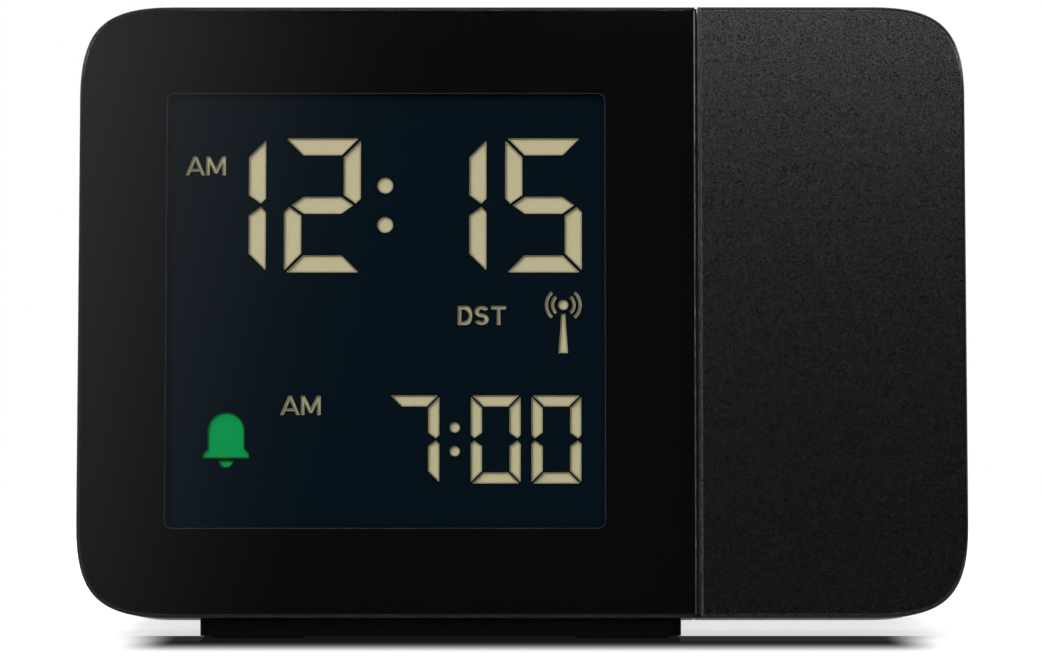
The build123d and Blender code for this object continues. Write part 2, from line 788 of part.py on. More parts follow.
def display_signs():
    """Every sign of the display, drawn in X and Z from the window's middle."""
    letter_pitch = 1.08 * LETTER_HEIGHT
    placed = []
    for character, right in (*TIME_RIGHT_EDGES.items(), *MINUTE_RIGHT_EDGES.items()):
        bars = digit(character, TIME_DIGIT_WIDTH, TIME_DIGIT_HEIGHT, TIME_STROKE)
        placed.append((bars, right - TIME_DIGIT_WIDTH / 2, TIME_DIGIT_Z))
    for character, right in ALARM_DIGITS:
        bars = digit(character, ALARM_DIGIT_WIDTH, ALARM_DIGIT_HEIGHT, ALARM_STROKE)
        placed.append((bars, right - ALARM_DIGIT_WIDTH / 2, ALARM_DIGIT_Z))
    for x, z in ((TIME_LETTERS_X, TIME_LETTERS_Z), (ALARM_LETTERS_X, ALARM_LETTERS_Z)):
        placed.append((capital_a(), x - letter_pitch / 2, z))
        placed.append((capital_m(), x + letter_pitch / 2, z))
    for place, letter in enumerate((capital_d(), capital_s(), capital_t())):
        letter_x = SUMMER_LETTERS_X + (place - 1) * SUMMER_LETTERS_PITCH * LETTER_HEIGHT
        placed.append((letter, letter_x, SUMMER_LETTERS_Z))
    drawn = [sign.moved(Location((x, z, 0))) for sign, x, z in placed]
    drawn += [tower_sign(), bell_sign()]
    with BuildSketch() as signs:
        for sign in drawn:
            add(sign)
        with Locations((TIME_COLON_X, TIME_DIGIT_Z)):
            with GridLocations(0, 2 * TIME_COLON_HALF_PITCH, 1, 2):
                Circle(TIME_DOT)
        with Locations((ALARM_COLON_X, ALARM_DIGIT_Z)):
            with GridLocations(0, 2 * ALARM_COLON_HALF_PITCH, 1, 2):
                Circle(ALARM_DOT)
    return signs.sketch


# ================================================================ display stack
WINDOW_CENTRE = (WINDOW_X, WINDOW_Z)
SHEET_DEPTH = FILM_DEPTH + FILM_THICK
GLASS_DEPTH = SHEET_DEPTH + SHEET_THICK
GUIDE_DEPTH = GLASS_DEPTH + GLASS_THICK + SLIP

with BuildPart() as front_lens:
    add(clock_block(0, -HALF_WIDTH, HOUSING_RIGHT, 0, LENS_THICK))
    fillet(front_lens.faces().sort_by(Axis.Y)[0].edges(), radius=EDGE_ROUND)
write_piece(front_lens, "front_lens")

with BuildPart() as window_mask:
    mask_right = HOUSING_RIGHT - MASK_MARGIN
    add(clock_block(MASK_MARGIN, -HALF_WIDTH, mask_right, LENS_THICK, FRAME_FRONT))
    with BuildSketch(face_plane(FRAME_FRONT)):
        with Locations(WINDOW_CENTRE):
            RectangleRounded(WINDOW_WIDTH, WINDOW_HEIGHT, WINDOW_CORNER)
    extrude(amount=MASK_THICK, mode=Mode.SUBTRACT)
write_piece(window_mask, "window_mask")

SIGNS = display_signs().moved(Location((WINDOW_X, WINDOW_Z, 0)))
with BuildPart() as display_film:
    with BuildSketch(face_plane(SHEET_DEPTH)):
        with Locations(WINDOW_CENTRE):
            Rectangle(LCD_WIDTH, LCD_HEIGHT)
        add(SIGNS, mode=Mode.SUBTRACT)
    extrude(amount=FILM_THICK)
write_piece(display_film, "display_film")

with BuildPart() as segment_sheet:
    with BuildSketch(face_plane(GLASS_DEPTH)):
        with Locations(WINDOW_CENTRE):
            Rectangle(LCD_WIDTH, LCD_HEIGHT)
    extrude(amount=SHEET_THICK)
    bell_height = BELL_TOP_Z - BELL_RIM_Z + CLAPPER_GAP + CLAPPER_RADIUS
    bell_middle = (WINDOW_X + BELL_X, WINDOW_Z + BELL_TOP_Z - bell_height / 2)
    with BuildSketch(face_plane(SHEET_DEPTH)):
        with Locations(bell_middle):
            Rectangle(2 * (BELL_RIM + BELL_FILTER_MARGIN), bell_height + 2 * BELL_FILTER_MARGIN)
    extrude(amount=-FILTER_THICK, mode=Mode.SUBTRACT)
write_piece(segment_sheet, "segment_sheet")

with BuildPart() as bell_filter:
    with BuildSketch(face_plane(SHEET_DEPTH + FILTER_THICK)):
        with Locations(bell_middle):
            Rectangle(
                2 * (BELL_RIM + BELL_FILTER_MARGIN - SEAT),
                bell_height + 2 * (BELL_FILTER_MARGIN - SEAT),
            )
    extrude(amount=FILTER_THICK)
write_piece(bell_filter, "bell_filter")

with BuildPart() as lcd_glass:
    with BuildSketch(face_plane(GLASS_DEPTH + GLASS_THICK)):
        with Locations(WINDOW_CENTRE):
            Rectangle(LCD_WIDTH, LCD_HEIGHT)
    extrude(amount=GLASS_THICK)
write_piece(lcd_glass, "lcd_glass")

with BuildPart() as backlight_guide:
    with BuildSketch(face_plane(GUIDE_DEPTH + GUIDE_THICK)):
        with Locations(WINDOW_CENTRE):
            Rectangle(LCD_WIDTH, LCD_HEIGHT)
    extrude(amount=GUIDE_THICK)
    with BuildSketch(face_plane(GUIDE_DEPTH + GUIDE_THICK)):
        with Locations(WINDOW_CENTRE):
            with GridLocations(
                LCD_WIDTH / (GUIDE_DOTS + 1), LCD_HEIGHT / (GUIDE_DOTS + 1), GUIDE_DOTS, GUIDE_DOTS
            ):
                Circle(GUIDE_DOT)
    extrude(amount=GUIDE_DOT_DEPTH, mode=Mode.SUBTRACT)
write_piece(backlight_guide, "backlight_guide")

LCD_FRAME_BACK = FRAME_FRONT + CLEAR + LCD_FRAME_DEPTH
with BuildPart() as lcd_frame:
    with BuildSketch(face_plane(LCD_FRAME_BACK)):
        with Locations(WINDOW_CENTRE):
            Rectangle(LCD_FRAME_WIDTH, LCD_FRAME_HEIGHT)
            Rectangle(LCD_WIDTH + 2 * SEAT, LCD_HEIGHT + 2 * SEAT, mode=Mode.SUBTRACT)
    extrude(amount=LCD_FRAME_DEPTH)
    with BuildSketch(face_plane(LCD_FRAME_BACK)):
        with Locations(WINDOW_CENTRE):
            Rectangle(LCD_FRAME_WIDTH, LCD_FRAME_HEIGHT)
            Rectangle(
                LCD_WIDTH - 2 * LCD_FRAME_REAR_LIP,
                LCD_HEIGHT - 2 * LCD_FRAME_REAR_LIP,
                mode=Mode.SUBTRACT,
            )
    extrude(amount=LCD_FRAME_BACK - GUIDE_DEPTH - GUIDE_THICK - SEAT)
    with BuildSketch(face_plane(FILM_DEPTH - SEAT)):
        with Locations(WINDOW_CENTRE):
            Rectangle(LCD_FRAME_WIDTH, LCD_FRAME_HEIGHT)
            Rectangle(
                LCD_WIDTH - 2 * LCD_FRAME_FRONT_LIP,
                LCD_HEIGHT - 2 * LCD_FRAME_FRONT_LIP,
                mode=Mode.SUBTRACT,
            )
    extrude(amount=FILM_DEPTH - SEAT - FRAME_FRONT - CLEAR)
write_piece(lcd_frame, "lcd_frame")

# ================================================================ front frame
with BuildPart() as front_frame:
    add(clock_block(0, -HALF_WIDTH, HOUSING_RIGHT, FRAME_FRONT, SPLIT_DEPTH))
    add(
        clock_block(WALL, -HALF_WIDTH, HOUSING_RIGHT - WALL, FRAME_INNER, SPLIT_DEPTH),
        mode=Mode.SUBTRACT,
    )
    with BuildSketch(face_plane(FRAME_INNER)):
        with Locations(WINDOW_CENTRE):
            Rectangle(LCD_FRAME_WIDTH + 2 * SLIP, LCD_FRAME_HEIGHT + 2 * SLIP)
    extrude(amount=FRONT_WALL, mode=Mode.SUBTRACT)
    with BuildSketch(face_plane(SPLIT_DEPTH)):
        with Locations(*CASE_SCREWS):
            Circle(CASE_BOSS)
    extrude(amount=SPLIT_DEPTH - FRAME_INNER + SEAT)
    with BuildSketch(face_plane(SPLIT_DEPTH)):
        with Locations(*CASE_SCREWS):
            Circle(CASE_SHANK + SEAT)
    extrude(amount=CASE_LENGTH, mode=Mode.SUBTRACT)
    with BuildSketch(face_plane(BOARD_DEPTH)):
        with Locations(*BOARD_POSTS):
            Circle(BOARD_POST_RADIUS)
    extrude(amount=BOARD_DEPTH - FRAME_INNER + SEAT)
    with BuildSketch(face_plane(BOARD_DEPTH)):
        with Locations(*BOARD_POSTS):
            Circle(SMALL_SHANK + SEAT)
    extrude(amount=SMALL_LENGTH, mode=Mode.SUBTRACT)
    with BuildSketch(level_plane(FOOT_BOSS_TOP_Z)):
        with Locations(*[(x, FOOT_SCREW_FRONT_Y) for x in FOOT_SCREW_X]):
            Circle(FOOT_BOSS)
    extrude(amount=-(FOOT_BOSS_TOP_Z + INNER_TOP + SEAT))
    with BuildSketch(level_plane(FOOT_BOSS_TOP_Z)):
        with Locations(*[(x, FOOT_SCREW_FRONT_Y) for x in FOOT_SCREW_X]):
            Circle(SMALL_SHANK + SEAT)
    extrude(amount=-(FOOT_BOSS_TOP_Z + HALF_HEIGHT), mode=Mode.SUBTRACT)
    with BuildSketch(level_plane(INNER_TOP)):
        with Locations((BAR_X, BAR_Y)):
            RectangleRounded(BAR_LENGTH + 2 * SLIP, BAR_DEPTH + 2 * SLIP, BAR_CORNER)
    extrude(amount=WALL, mode=Mode.SUBTRACT)
    with BuildSketch(side_plane(HOUSING_RIGHT)):
        with Locations((PIVOT_Y, 0)):
            Circle(BUSH_RADIUS + SEAT)
    extrude(amount=-WALL, mode=Mode.SUBTRACT)
write_piece(front_frame, "front_frame")

# ================================================================ snooze bar
with BuildPart() as snooze_bar:
    flange_top = INNER_TOP - CLEAR
    with BuildSketch(level_plane(flange_top)):
        with Locations((BAR_X, BAR_Y)):
            RectangleRounded(BAR_LENGTH, BAR_DEPTH, BAR_CORNER - SLIP)
    extrude(amount=HALF_HEIGHT - flange_top)
    fillet(snooze_bar.faces().sort_by(Axis.Z)[-1].edges(), radius=CLEAR)
    with BuildSketch(level_plane(flange_top - BAR_FLANGE_THICK)):
        with Locations((BAR_X, BAR_Y)):
            RectangleRounded(BAR_LENGTH + 2 * BAR_FLANGE, BAR_DEPTH + 2 * BAR_FLANGE, BAR_CORNER)
    extrude(amount=BAR_FLANGE_THICK)
    with BuildSketch(level_plane(flange_top - BAR_FLANGE_THICK)):
        with Locations((BAR_X, BAR_PLUNGER_Y)):
            Circle(BAR_PLUNGER)
    extrude(amount=-BAR_TRAVEL)
    with BuildSketch(level_plane(HALF_HEIGHT)):
        with Locations((BAR_X, BAR_Y)):
            with GridLocations(0, BAR_GROOVE_PITCH, 1, BAR_GROOVES):
                SlotOverall(BAR_LENGTH / 3, BAR_GROOVE_PITCH / 3)
    extrude(amount=-CLEAR, mode=Mode.SUBTRACT)
write_piece(snooze_bar, "snooze_bar")

# ================================================================ main board
with BuildPart() as main_board:
    with BuildSketch(face_plane(BOARD_BACK)):
        with Locations((BOARD_X, 0)):
            Rectangle(BOARD_RIGHT - BOARD_LEFT, 2 * (BOARD_POST_Z + BOARD_EDGE))
        with Locations(*BOARD_POSTS):
            Circle(SMALL_SHANK + CLEAR, mode=Mode.SUBTRACT)
    extrude(amount=BOARD_THICK)
write_piece(main_board, "main_board")

with BuildPart() as board_chips:
    for x, z, width, height, thick in CHIPS:
        with BuildSketch(face_plane(BOARD_BACK)):
            with Locations((BOARD_X + x, z)):
                Rectangle(width, height)
        extrude(amount=-thick)
write_piece(board_chips, "board_chips")

LEAD_START_X = BOARD_RIGHT + LEAD_START_GAP
with BuildPart() as lead_socket:
    socket_right = LEAD_START_X - CLEAR
    with BuildSketch(face_plane(BOARD_BACK)):
        with Locations((socket_right - LEAD_SOCKET_LENGTH / 2, 0)):
            Rectangle(LEAD_SOCKET_LENGTH, LEAD_SOCKET_WIDTH)
    extrude(amount=-2 * LEAD_RADIUS)
write_piece(lead_socket, "lead_socket")

with BuildPart() as zebra_connector:
    with BuildSketch(face_plane(BOARD_DEPTH)):
        with Locations(((BOARD_POST_LEFT + BOARD_POST_RIGHT) / 2, ZEBRA_Z)):
            Rectangle(ZEBRA_LENGTH, ZEBRA_THICK)
    extrude(amount=BOARD_DEPTH - FRAME_INNER)
write_piece(zebra_connector, "zebra_connector")

with BuildPart() as snooze_switch:
    key_top = INNER_TOP - BAR_FLANGE_THICK - 2 * (CLEAR + BAR_TRAVEL)
    with BuildSketch(level_plane(key_top - SNOOZE_TIP_HEIGHT)):
        with Locations((BAR_X, BOARD_BACK + SNOOZE_BODY_DEPTH / 2)):
            Rectangle(KEY_BODY, SNOOZE_BODY_DEPTH)
    extrude(amount=-SNOOZE_BODY_HEIGHT)
    with BuildSketch(level_plane(key_top - SNOOZE_TIP_HEIGHT)):
        with Locations((BAR_X, BAR_PLUNGER_Y)):
            Circle(SNOOZE_TIP)
    extrude(amount=SNOOZE_TIP_HEIGHT)
write_piece(snooze_switch, "snooze_switch")

# ================================================================ rear cover
DOOR_X = (DOOR_LEFT + DOOR_RIGHT) / 2
DOOR_Z = (DOOR_BOTTOM + DOOR_TOP) / 2
PANEL_X = DOOR_X
PANEL_Z = (PANEL_BOTTOM + PANEL_TOP) / 2
PANEL_INNER = PANEL_FLOOR - PANEL_WALL
SWITCH_FLOOR = CLOCK_DEPTH - SWITCH_POCKET_DEPTH
SWITCH_SLOT = KNOB_LENGTH + SWITCH_TRAVEL + 2 * SLIP
BUTTON_COUNT = len(BUTTON_NAMES)
BUTTON_X = [
    PANEL_X + (place - (BUTTON_COUNT - 1) / 2) * BUTTON_PITCH for place in range(BUTTON_COUNT)
]
SWITCHES = [(RIGHT_BAY_X, SWITCH_Z[name]) for name in SWITCH_NAMES]


def back_plate(left, right, bottom, top, corner, thick):
    """Curved plate cut out of the clock's rear skin, thick measured from the skin."""
    with BuildPart() as plate:
        with BuildSketch(face_plane(CLOCK_DEPTH + 1)):
            with Locations(((left + right) / 2, (bottom + top) / 2)):
                RectangleRounded(right - left, top - bottom, corner)
        extrude(amount=CLOCK_DEPTH / 3)
        extrude(side_outline(0, -HALF_WIDTH), amount=CLOCK_WIDTH, mode=Mode.INTERSECT)
        extrude(side_outline(thick, -HALF_WIDTH), amount=CLOCK_WIDTH, mode=Mode.SUBTRACT)
    return plate.part


with BuildPart() as rear_posts:
    with BuildSketch(face_plane(CLOCK_DEPTH)):
        with Locations(*KEY_POSTS):
            Circle(KEY_POST_RADIUS)
    extrude(amount=CLOCK_DEPTH - KEY_BOARD_BACK)
    with BuildSketch(face_plane(CLOCK_DEPTH)):
        with Locations(*CASE_SCREWS):
            Circle(CASE_COLUMN)
    extrude(amount=CLOCK_DEPTH - SPLIT_DEPTH)
    with BuildSketch(level_plane(FOOT_BOSS_TOP_Z)):
        with Locations(*[(x, FOOT_SCREW_REAR_Y) for x in FOOT_SCREW_X]):
            Circle(FOOT_BOSS)
    extrude(amount=-(FOOT_BOSS_TOP_Z + HALF_HEIGHT))
    with BuildSketch(face_plane(PANEL_FLOOR)):
        with Locations((PANEL_X, PANEL_Z)):
            Rectangle(DOOR_WIDTH + PANEL_WALL, PANEL_TOP - PANEL_BOTTOM + PANEL_WALL)
    extrude(amount=PANEL_WALL)
    with BuildSketch(face_plane(CLOCK_DEPTH)):
        with Locations((RIGHT_BAY_X, BUZZER_Z)):
            Circle(BUZZER_RADIUS + SLIP + BUZZER_COLLAR)
            Circle(BUZZER_RADIUS + SLIP, mode=Mode.SUBTRACT)
    extrude(amount=CLOCK_DEPTH - KEY_BOARD_BACK - BUZZER_COLLAR_GAP)
    add(
        clock_block(WALL / 2, -HALF_WIDTH, HOUSING_RIGHT - WALL / 2, SPLIT_DEPTH, CLOCK_DEPTH),
        mode=Mode.INTERSECT,
    )

rear_skin = rounded_block(-HALF_WIDTH, HOUSING_RIGHT, SPLIT_DEPTH, CLOCK_DEPTH)
with BuildPart() as rear_cover:
    add(rear_skin)
    add(
        clock_block(WALL, -HALF_WIDTH, HOUSING_RIGHT - WALL, SPLIT_DEPTH, CLOCK_DEPTH),
        mode=Mode.SUBTRACT,
    )
    add(rear_posts.part)
    # battery bay: a through opening and a rebate that carries the lid's rim
    with BuildSketch(face_plane(CLOCK_DEPTH + 1)):
        with Locations((DOOR_X, DOOR_Z)):
            RectangleRounded(DOOR_WIDTH - 2 * DOOR_LEDGE, DOOR_HEIGHT - 2 * DOOR_LEDGE, DOOR_CORNER)
    extrude(amount=CLOCK_DEPTH / 3, mode=Mode.SUBTRACT)
    add(
        back_plate(
            DOOR_LEFT - SLIP,
            DOOR_RIGHT + SLIP,
            DOOR_BOTTOM - SLIP,
            DOOR_TOP + SLIP,
            DOOR_CORNER,
            DOOR_THICK + CLEAR,
        ),
        mode=Mode.SUBTRACT,
    )
    # set-button panel
    with BuildSketch(face_plane(CLOCK_DEPTH + 1)):
        with Locations((PANEL_X, PANEL_Z)):
            RectangleRounded(DOOR_WIDTH, PANEL_TOP - PANEL_BOTTOM, PANEL_CORNER)
    extrude(amount=CLOCK_DEPTH + 1 - PANEL_FLOOR, mode=Mode.SUBTRACT)
    with BuildSketch(face_plane(PANEL_FLOOR)):
        with Locations(*[(x, BUTTON_Z) for x in BUTTON_X]):
            SlotOverall(BUTTON_LENGTH + 2 * SLIP, BUTTON_WIDTH + 2 * SLIP)
    extrude(amount=PANEL_WALL, mode=Mode.SUBTRACT)
    # slide-switch pockets and slots
    with BuildSketch(face_plane(CLOCK_DEPTH)):
        with Locations(*SWITCHES):
            SlotOverall(
                SWITCH_SLOT + 2 * SWITCH_POCKET_MARGIN,
                KNOB_WIDTH + 2 * SLIP + 2 * SWITCH_POCKET_MARGIN,
            )
    extrude(amount=SWITCH_POCKET_DEPTH, mode=Mode.SUBTRACT)
    with BuildSketch(face_plane(SWITCH_FLOOR)):
        with Locations(*SWITCHES):
            Rectangle(SWITCH_SLOT, KNOB_WIDTH + 2 * SLIP)
    extrude(amount=WALL, mode=Mode.SUBTRACT)
    # sound holes
    with BuildSketch(face_plane(CLOCK_DEPTH)):
        with Locations((RIGHT_BAY_X, BUZZER_Z)):
            Circle(GRILLE_HOLE)
            for count, radius in zip(GRILLE_RING_COUNTS, GRILLE_RING_RADII):
                with PolarLocations(radius, count):
                    Circle(GRILLE_HOLE)
    extrude(amount=2 * WALL, mode=Mode.SUBTRACT)
    # power inlet
    with BuildSketch(face_plane(CLOCK_DEPTH)):
        with Locations((RIGHT_BAY_X, SOCKET_Z)):
            Circle(SOCKET_COLLAR + SLIP)
    extrude(amount=2 * WALL, mode=Mode.SUBTRACT)
    # screw seats and pilot holes
    with BuildSketch(face_plane(CLOCK_DEPTH)):
        with Locations(*CASE_SCREWS):
            Circle(CASE_HEAD + SLIP)
    extrude(amount=CLOCK_DEPTH - CASE_SEAT_DEPTH, mode=Mode.SUBTRACT)
    with BuildSketch(face_plane(CASE_SEAT_DEPTH)):
        with Locations(*CASE_SCREWS):
            Circle(CASE_SHANK + SLIP)
    extrude(amount=CASE_SEAT_DEPTH - SPLIT_DEPTH, mode=Mode.SUBTRACT)
    with BuildSketch(face_plane(KEY_BOARD_BACK)):
        with Locations(*KEY_POSTS):
            Circle(SMALL_SHANK + SEAT)
    extrude(amount=-(SMALL_LENGTH - BOARD_THICK + SEAT), mode=Mode.SUBTRACT)
    with BuildSketch(level_plane(FOOT_BOSS_TOP_Z)):
        with Locations(*[(x, FOOT_SCREW_REAR_Y) for x in FOOT_SCREW_X]):
            Circle(SMALL_SHANK + SEAT)
    extrude(amount=-(FOOT_BOSS_TOP_Z + HALF_HEIGHT), mode=Mode.SUBTRACT)
write_piece(rear_cover, "rear_cover")

# ================================================================ set buttons
for button_name, button_x in zip(BUTTON_NAMES, BUTTON_X):
    with BuildPart() as set_button:
        with BuildSketch(face_plane(PANEL_FLOOR + BUTTON_PROUD)):
            with Locations((button_x, BUTTON_Z)):
                SlotOverall(BUTTON_LENGTH, BUTTON_WIDTH)
        extrude(amount=BUTTON_PROUD + PANEL_WALL + CLEAR)
        fillet(set_button.faces().sort_by(Axis.Y)[-1].edges(), radius=CLEAR)
        with BuildSketch(face_plane(PANEL_INNER - CLEAR)):
            with Locations((button_x, BUTTON_Z)):
                SlotOverall(BUTTON_LENGTH + 2 * BUTTON_FLANGE, BUTTON_WIDTH + 2 * BUTTON_FLANGE)
        extrude(amount=BUTTON_FLANGE_THICK)
    write_piece(set_button, f"{button_name}_button")

# ================================================================ slide switches
KNOB_FLANGE_BACK = INNER_BACK - CLEAR
for switch_name in SWITCH_NAMES:
    with BuildPart() as knob:
        with BuildSketch(face_plane(SWITCH_FLOOR + KNOB_PROUD)):
            with Locations((RIGHT_BAY_X, SWITCH_Z[switch_name])):
                Rectangle(KNOB_LENGTH, KNOB_WIDTH)
        extrude(amount=SWITCH_FLOOR + KNOB_PROUD - KNOB_FLANGE_BACK)
        with BuildSketch(face_plane(SWITCH_FLOOR + KNOB_PROUD)):
            with Locations((RIGHT_BAY_X, SWITCH_Z[switch_name])):
                with GridLocations(KNOB_LENGTH / 4, 0, 3, 1):
                    Rectangle(KNOB_LENGTH / 9, KNOB_WIDTH)
        extrude(amount=CLEAR, mode=Mode.SUBTRACT)
        with BuildSketch(face_plane(KNOB_FLANGE_BACK)):
            with Locations((RIGHT_BAY_X, SWITCH_Z[switch_name])):
                Rectangle(KNOB_LENGTH + 2 * KNOB_FLANGE, KNOB_WIDTH + 2 * CLEAR)
        extrude(amount=KNOB_FLANGE_THICK)
    write_piece(knob, f"{switch_name}_knob")

with BuildPart() as slide_switches:
    with BuildSketch(face_plane(KNOB_FLANGE_BACK - KNOB_FLANGE_THICK - CLEAR)):
        with Locations(*SWITCHES):
            Rectangle(SWITCH_BODY_LENGTH, SWITCH_BODY_WIDTH)
    extrude(amount=KNOB_FLANGE_BACK - KNOB_FLANGE_THICK - CLEAR - KEY_BOARD_BACK)
write_piece(slide_switches, "slide_switches")

# ================================================================ key board
with BuildPart() as key_board:
    with BuildSketch(face_plane(KEY_BOARD_BACK)):
        with BuildLine():
            Polyline(
                (KEY_BOARD_LEFT, KEY_BOARD_TOP),
                (KEY_BOARD_RIGHT, KEY_BOARD_TOP),
                (KEY_BOARD_RIGHT, KEY_BOARD_BOTTOM),
                (KEY_BOARD_STEP_X, KEY_BOARD_BOTTOM),
                (KEY_BOARD_STEP_X, KEY_BOARD_STEP_Z),
                (KEY_BOARD_LEFT, KEY_BOARD_STEP_Z),
                close=True,
            )
        make_face()
        with Locations(*KEY_POSTS):
            Circle(SMALL_SHANK + CLEAR, mode=Mode.SUBTRACT)
    extrude(amount=BOARD_THICK)
write_piece(key_board, "key_board")

with BuildPart() as key_switches:
    key_tip_back = PANEL_INNER - CLEAR - BUTTON_FLANGE_THICK - BUTTON_TRAVEL - SLIP
    with BuildSketch(face_plane(KEY_BOARD_BACK + KEY_BODY_HEIGHT)):
        with Locations(*[(x, BUTTON_Z) for x in BUTTON_X]):
            Rectangle(KEY_BODY, KEY_BODY)
    extrude(amount=KEY_BODY_HEIGHT)
    with BuildSketch(face_plane(key_tip_back)):
        with Locations(*[(x, BUTTON_Z) for x in BUTTON_X]):
            Circle(KEY_TIP)
    extrude(amount=key_tip_back - KEY_BOARD_BACK - KEY_BODY_HEIGHT)
write_piece(key_switches, "key_switches")

with BuildPart() as buzzer:
    with BuildSketch(face_plane(KEY_BOARD_BACK + BUZZER_HEIGHT)):
        with Locations((RIGHT_BAY_X, BUZZER_Z)):
            Circle(BUZZER_RADIUS)
    extrude(amount=BUZZER_HEIGHT)
    with BuildSketch(face_plane(KEY_BOARD_BACK + BUZZER_HEIGHT)):
        with Locations((RIGHT_BAY_X, BUZZER_Z)):
            Circle(GRILLE_HOLE * 2)
    extrude(amount=BUZZER_HEIGHT / 2, mode=Mode.SUBTRACT)
write_piece(buzzer, "buzzer")

with BuildPart() as dc_socket:
    with BuildSketch(face_plane(INNER_BACK - SLIP)):
        with Locations((RIGHT_BAY_X, SOCKET_Z)):
            Rectangle(SOCKET_BODY, SOCKET_BODY)
    extrude(amount=INNER_BACK - SLIP - KEY_BOARD_BACK)
    extrude(side_outline(WALL + SLIP, -HALF_WIDTH), amount=CLOCK_WIDTH, mode=Mode.INTERSECT)
    with BuildSketch(face_plane(CLOCK_DEPTH - CLEAR)):
        with Locations((RIGHT_BAY_X, SOCKET_Z)):
            Circle(SOCKET_COLLAR)
    extrude(amount=CLOCK_DEPTH - CLEAR - KEY_BOARD_BACK)
    extrude(side_outline(SLIP, -HALF_WIDTH), amount=CLOCK_WIDTH, mode=Mode.INTERSECT)
    with BuildSketch(face_plane(CLOCK_DEPTH)):
        with Locations((RIGHT_BAY_X, SOCKET_Z)):
            Circle(SOCKET_BORE)
            Circle(SOCKET_PIN, mode=Mode.SUBTRACT)
    extrude(amount=SOCKET_BORE_LENGTH, mode=Mode.SUBTRACT)
write_piece(dc_socket, "dc_socket")

# ================================================================ battery bay
with BuildPart() as battery_door:
    add(back_plate(DOOR_LEFT, DOOR_RIGHT, DOOR_BOTTOM, DOOR_TOP, DOOR_CORNER, DOOR_THICK))
    grip_z = DOOR_TOP - GRIP_HEIGHT
    with BuildSketch(face_plane(CLOCK_DEPTH)):
        with Locations((DOOR_X, grip_z)):
            SlotOverall(GRIP_LENGTH, GRIP_HEIGHT)
    extrude(amount=GRIP_DEPTH, mode=Mode.SUBTRACT)
    with BuildSketch(face_plane(CLOCK_DEPTH)):
        with Locations((DOOR_X, grip_z)):
            with GridLocations(0, GRIP_HEIGHT / 4, 1, GRIP_RIBS):
                Rectangle(GRIP_LENGTH * 0.6, GRIP_HEIGHT / 12)
    extrude(amount=GRIP_DEPTH)
write_piece(battery_door, "battery_door")

CELL_Y = TRAY_DEPTH + TRAY_WALL + CELL_RADIUS + SLIP
CELL_Z = (DOOR_Z - CELL_PITCH / 2, DOOR_Z + CELL_PITCH / 2)
with BuildPart() as battery_box:
    with BuildSketch(face_plane(INNER_BACK)):
        with Locations((DOOR_X, DOOR_Z)):
            Rectangle(TRAY_INNER_WIDTH + 2 * TRAY_WALL, TRAY_INNER_HEIGHT + 2 * TRAY_WALL)
    extrude(amount=INNER_BACK - TRAY_DEPTH)
    with BuildSketch(face_plane(INNER_BACK)):
        with Locations((DOOR_X, DOOR_Z)):
            Rectangle(TRAY_INNER_WIDTH, TRAY_INNER_HEIGHT)
    extrude(amount=INNER_BACK - TRAY_DEPTH - TRAY_WALL, mode=Mode.SUBTRACT)
    with BuildSketch(face_plane(CELL_Y - CELL_RADIUS / 2)):
        with Locations((DOOR_X, DOOR_Z)):
            Rectangle(TRAY_INNER_WIDTH, CELL_PITCH - 2 * CELL_RADIUS - 2 * SLIP)
    extrude(amount=CELL_Y - CELL_RADIUS / 2 - TRAY_DEPTH)
    extrude(side_outline(WALL + SEAT, -HALF_WIDTH), amount=CLOCK_WIDTH, mode=Mode.INTERSECT)
write_piece(battery_box, "battery_box")

CONTACT_X = (
    DOOR_X - TRAY_INNER_WIDTH / 2 + SEAT,
    DOOR_X + TRAY_INNER_WIDTH / 2 - SEAT - CONTACT_THICK,
)


def leaf_outline(height, reach):
    """Bowed contact leaf seen from the end, standing out from a plate at x = 0."""
    with BuildSketch() as leaf:
        with BuildLine():
            outer = ThreePointArc((0, -height / 2), (reach, 0), (0, height / 2))
            Line(outer @ 1, (0, height / 2 - 2 * CONTACT_THICK))
            inner_reach = reach - CONTACT_THICK
            ThreePointArc(
                (0, height / 2 - 2 * CONTACT_THICK),
                (inner_reach, 0),
                (0, -height / 2 + 2 * CONTACT_THICK),
            )
            Line((0, -height / 2 + 2 * CONTACT_THICK), outer @ 0)
        make_face()
    return leaf.sketch


with BuildPart() as battery_contacts:
    for contact_x in CONTACT_X:
        with BuildSketch(side_plane(contact_x)):
            with Locations(*[(CELL_Y, z) for z in CELL_Z]):
                Rectangle(CONTACT_SIZE, CONTACT_SIZE)
        extrude(amount=CONTACT_THICK)
    leaf_width = CONTACT_SIZE / 2
    springs = (
        (CONTACT_X[0] + CONTACT_THICK, CELL_Z[1], 1),
        (CONTACT_X[1], CELL_Z[0], -1),
    )
    for base_x, cell_z, turn in springs:
        leaf_plane = Plane(
            origin=(base_x, CELL_Y - leaf_width / 2, cell_z),
            x_dir=(turn, 0, 0),
            z_dir=(0, 1, 0),
        )
        with BuildSketch(leaf_plane):
            add(leaf_outline(CONTACT_SIZE, SPRING_GAP))
        extrude(amount=leaf_width)
write_piece(battery_contacts, "battery_contacts")


def cell(base_x, cell_z, turn):
    """Dry cell lying along X from its flat end, with its nub towards turn."""
    with BuildPart() as battery:
        with BuildSketch(side_plane(base_x)):
            with Locations((CELL_Y, cell_z)):
                Circle(CELL_RADIUS)
        extrude(amount=turn * CELL_LENGTH)
        fillet(battery.edges().filter_by(GeomType.CIRCLE), radius=CLEAR)
        with BuildSketch(side_plane(base_x + turn * CELL_LENGTH)):
            with Locations((CELL_Y, cell_z)):
                Circle(CELL_NUB_RADIUS)
        extrude(amount=turn * CELL_NUB_LENGTH)
    return battery


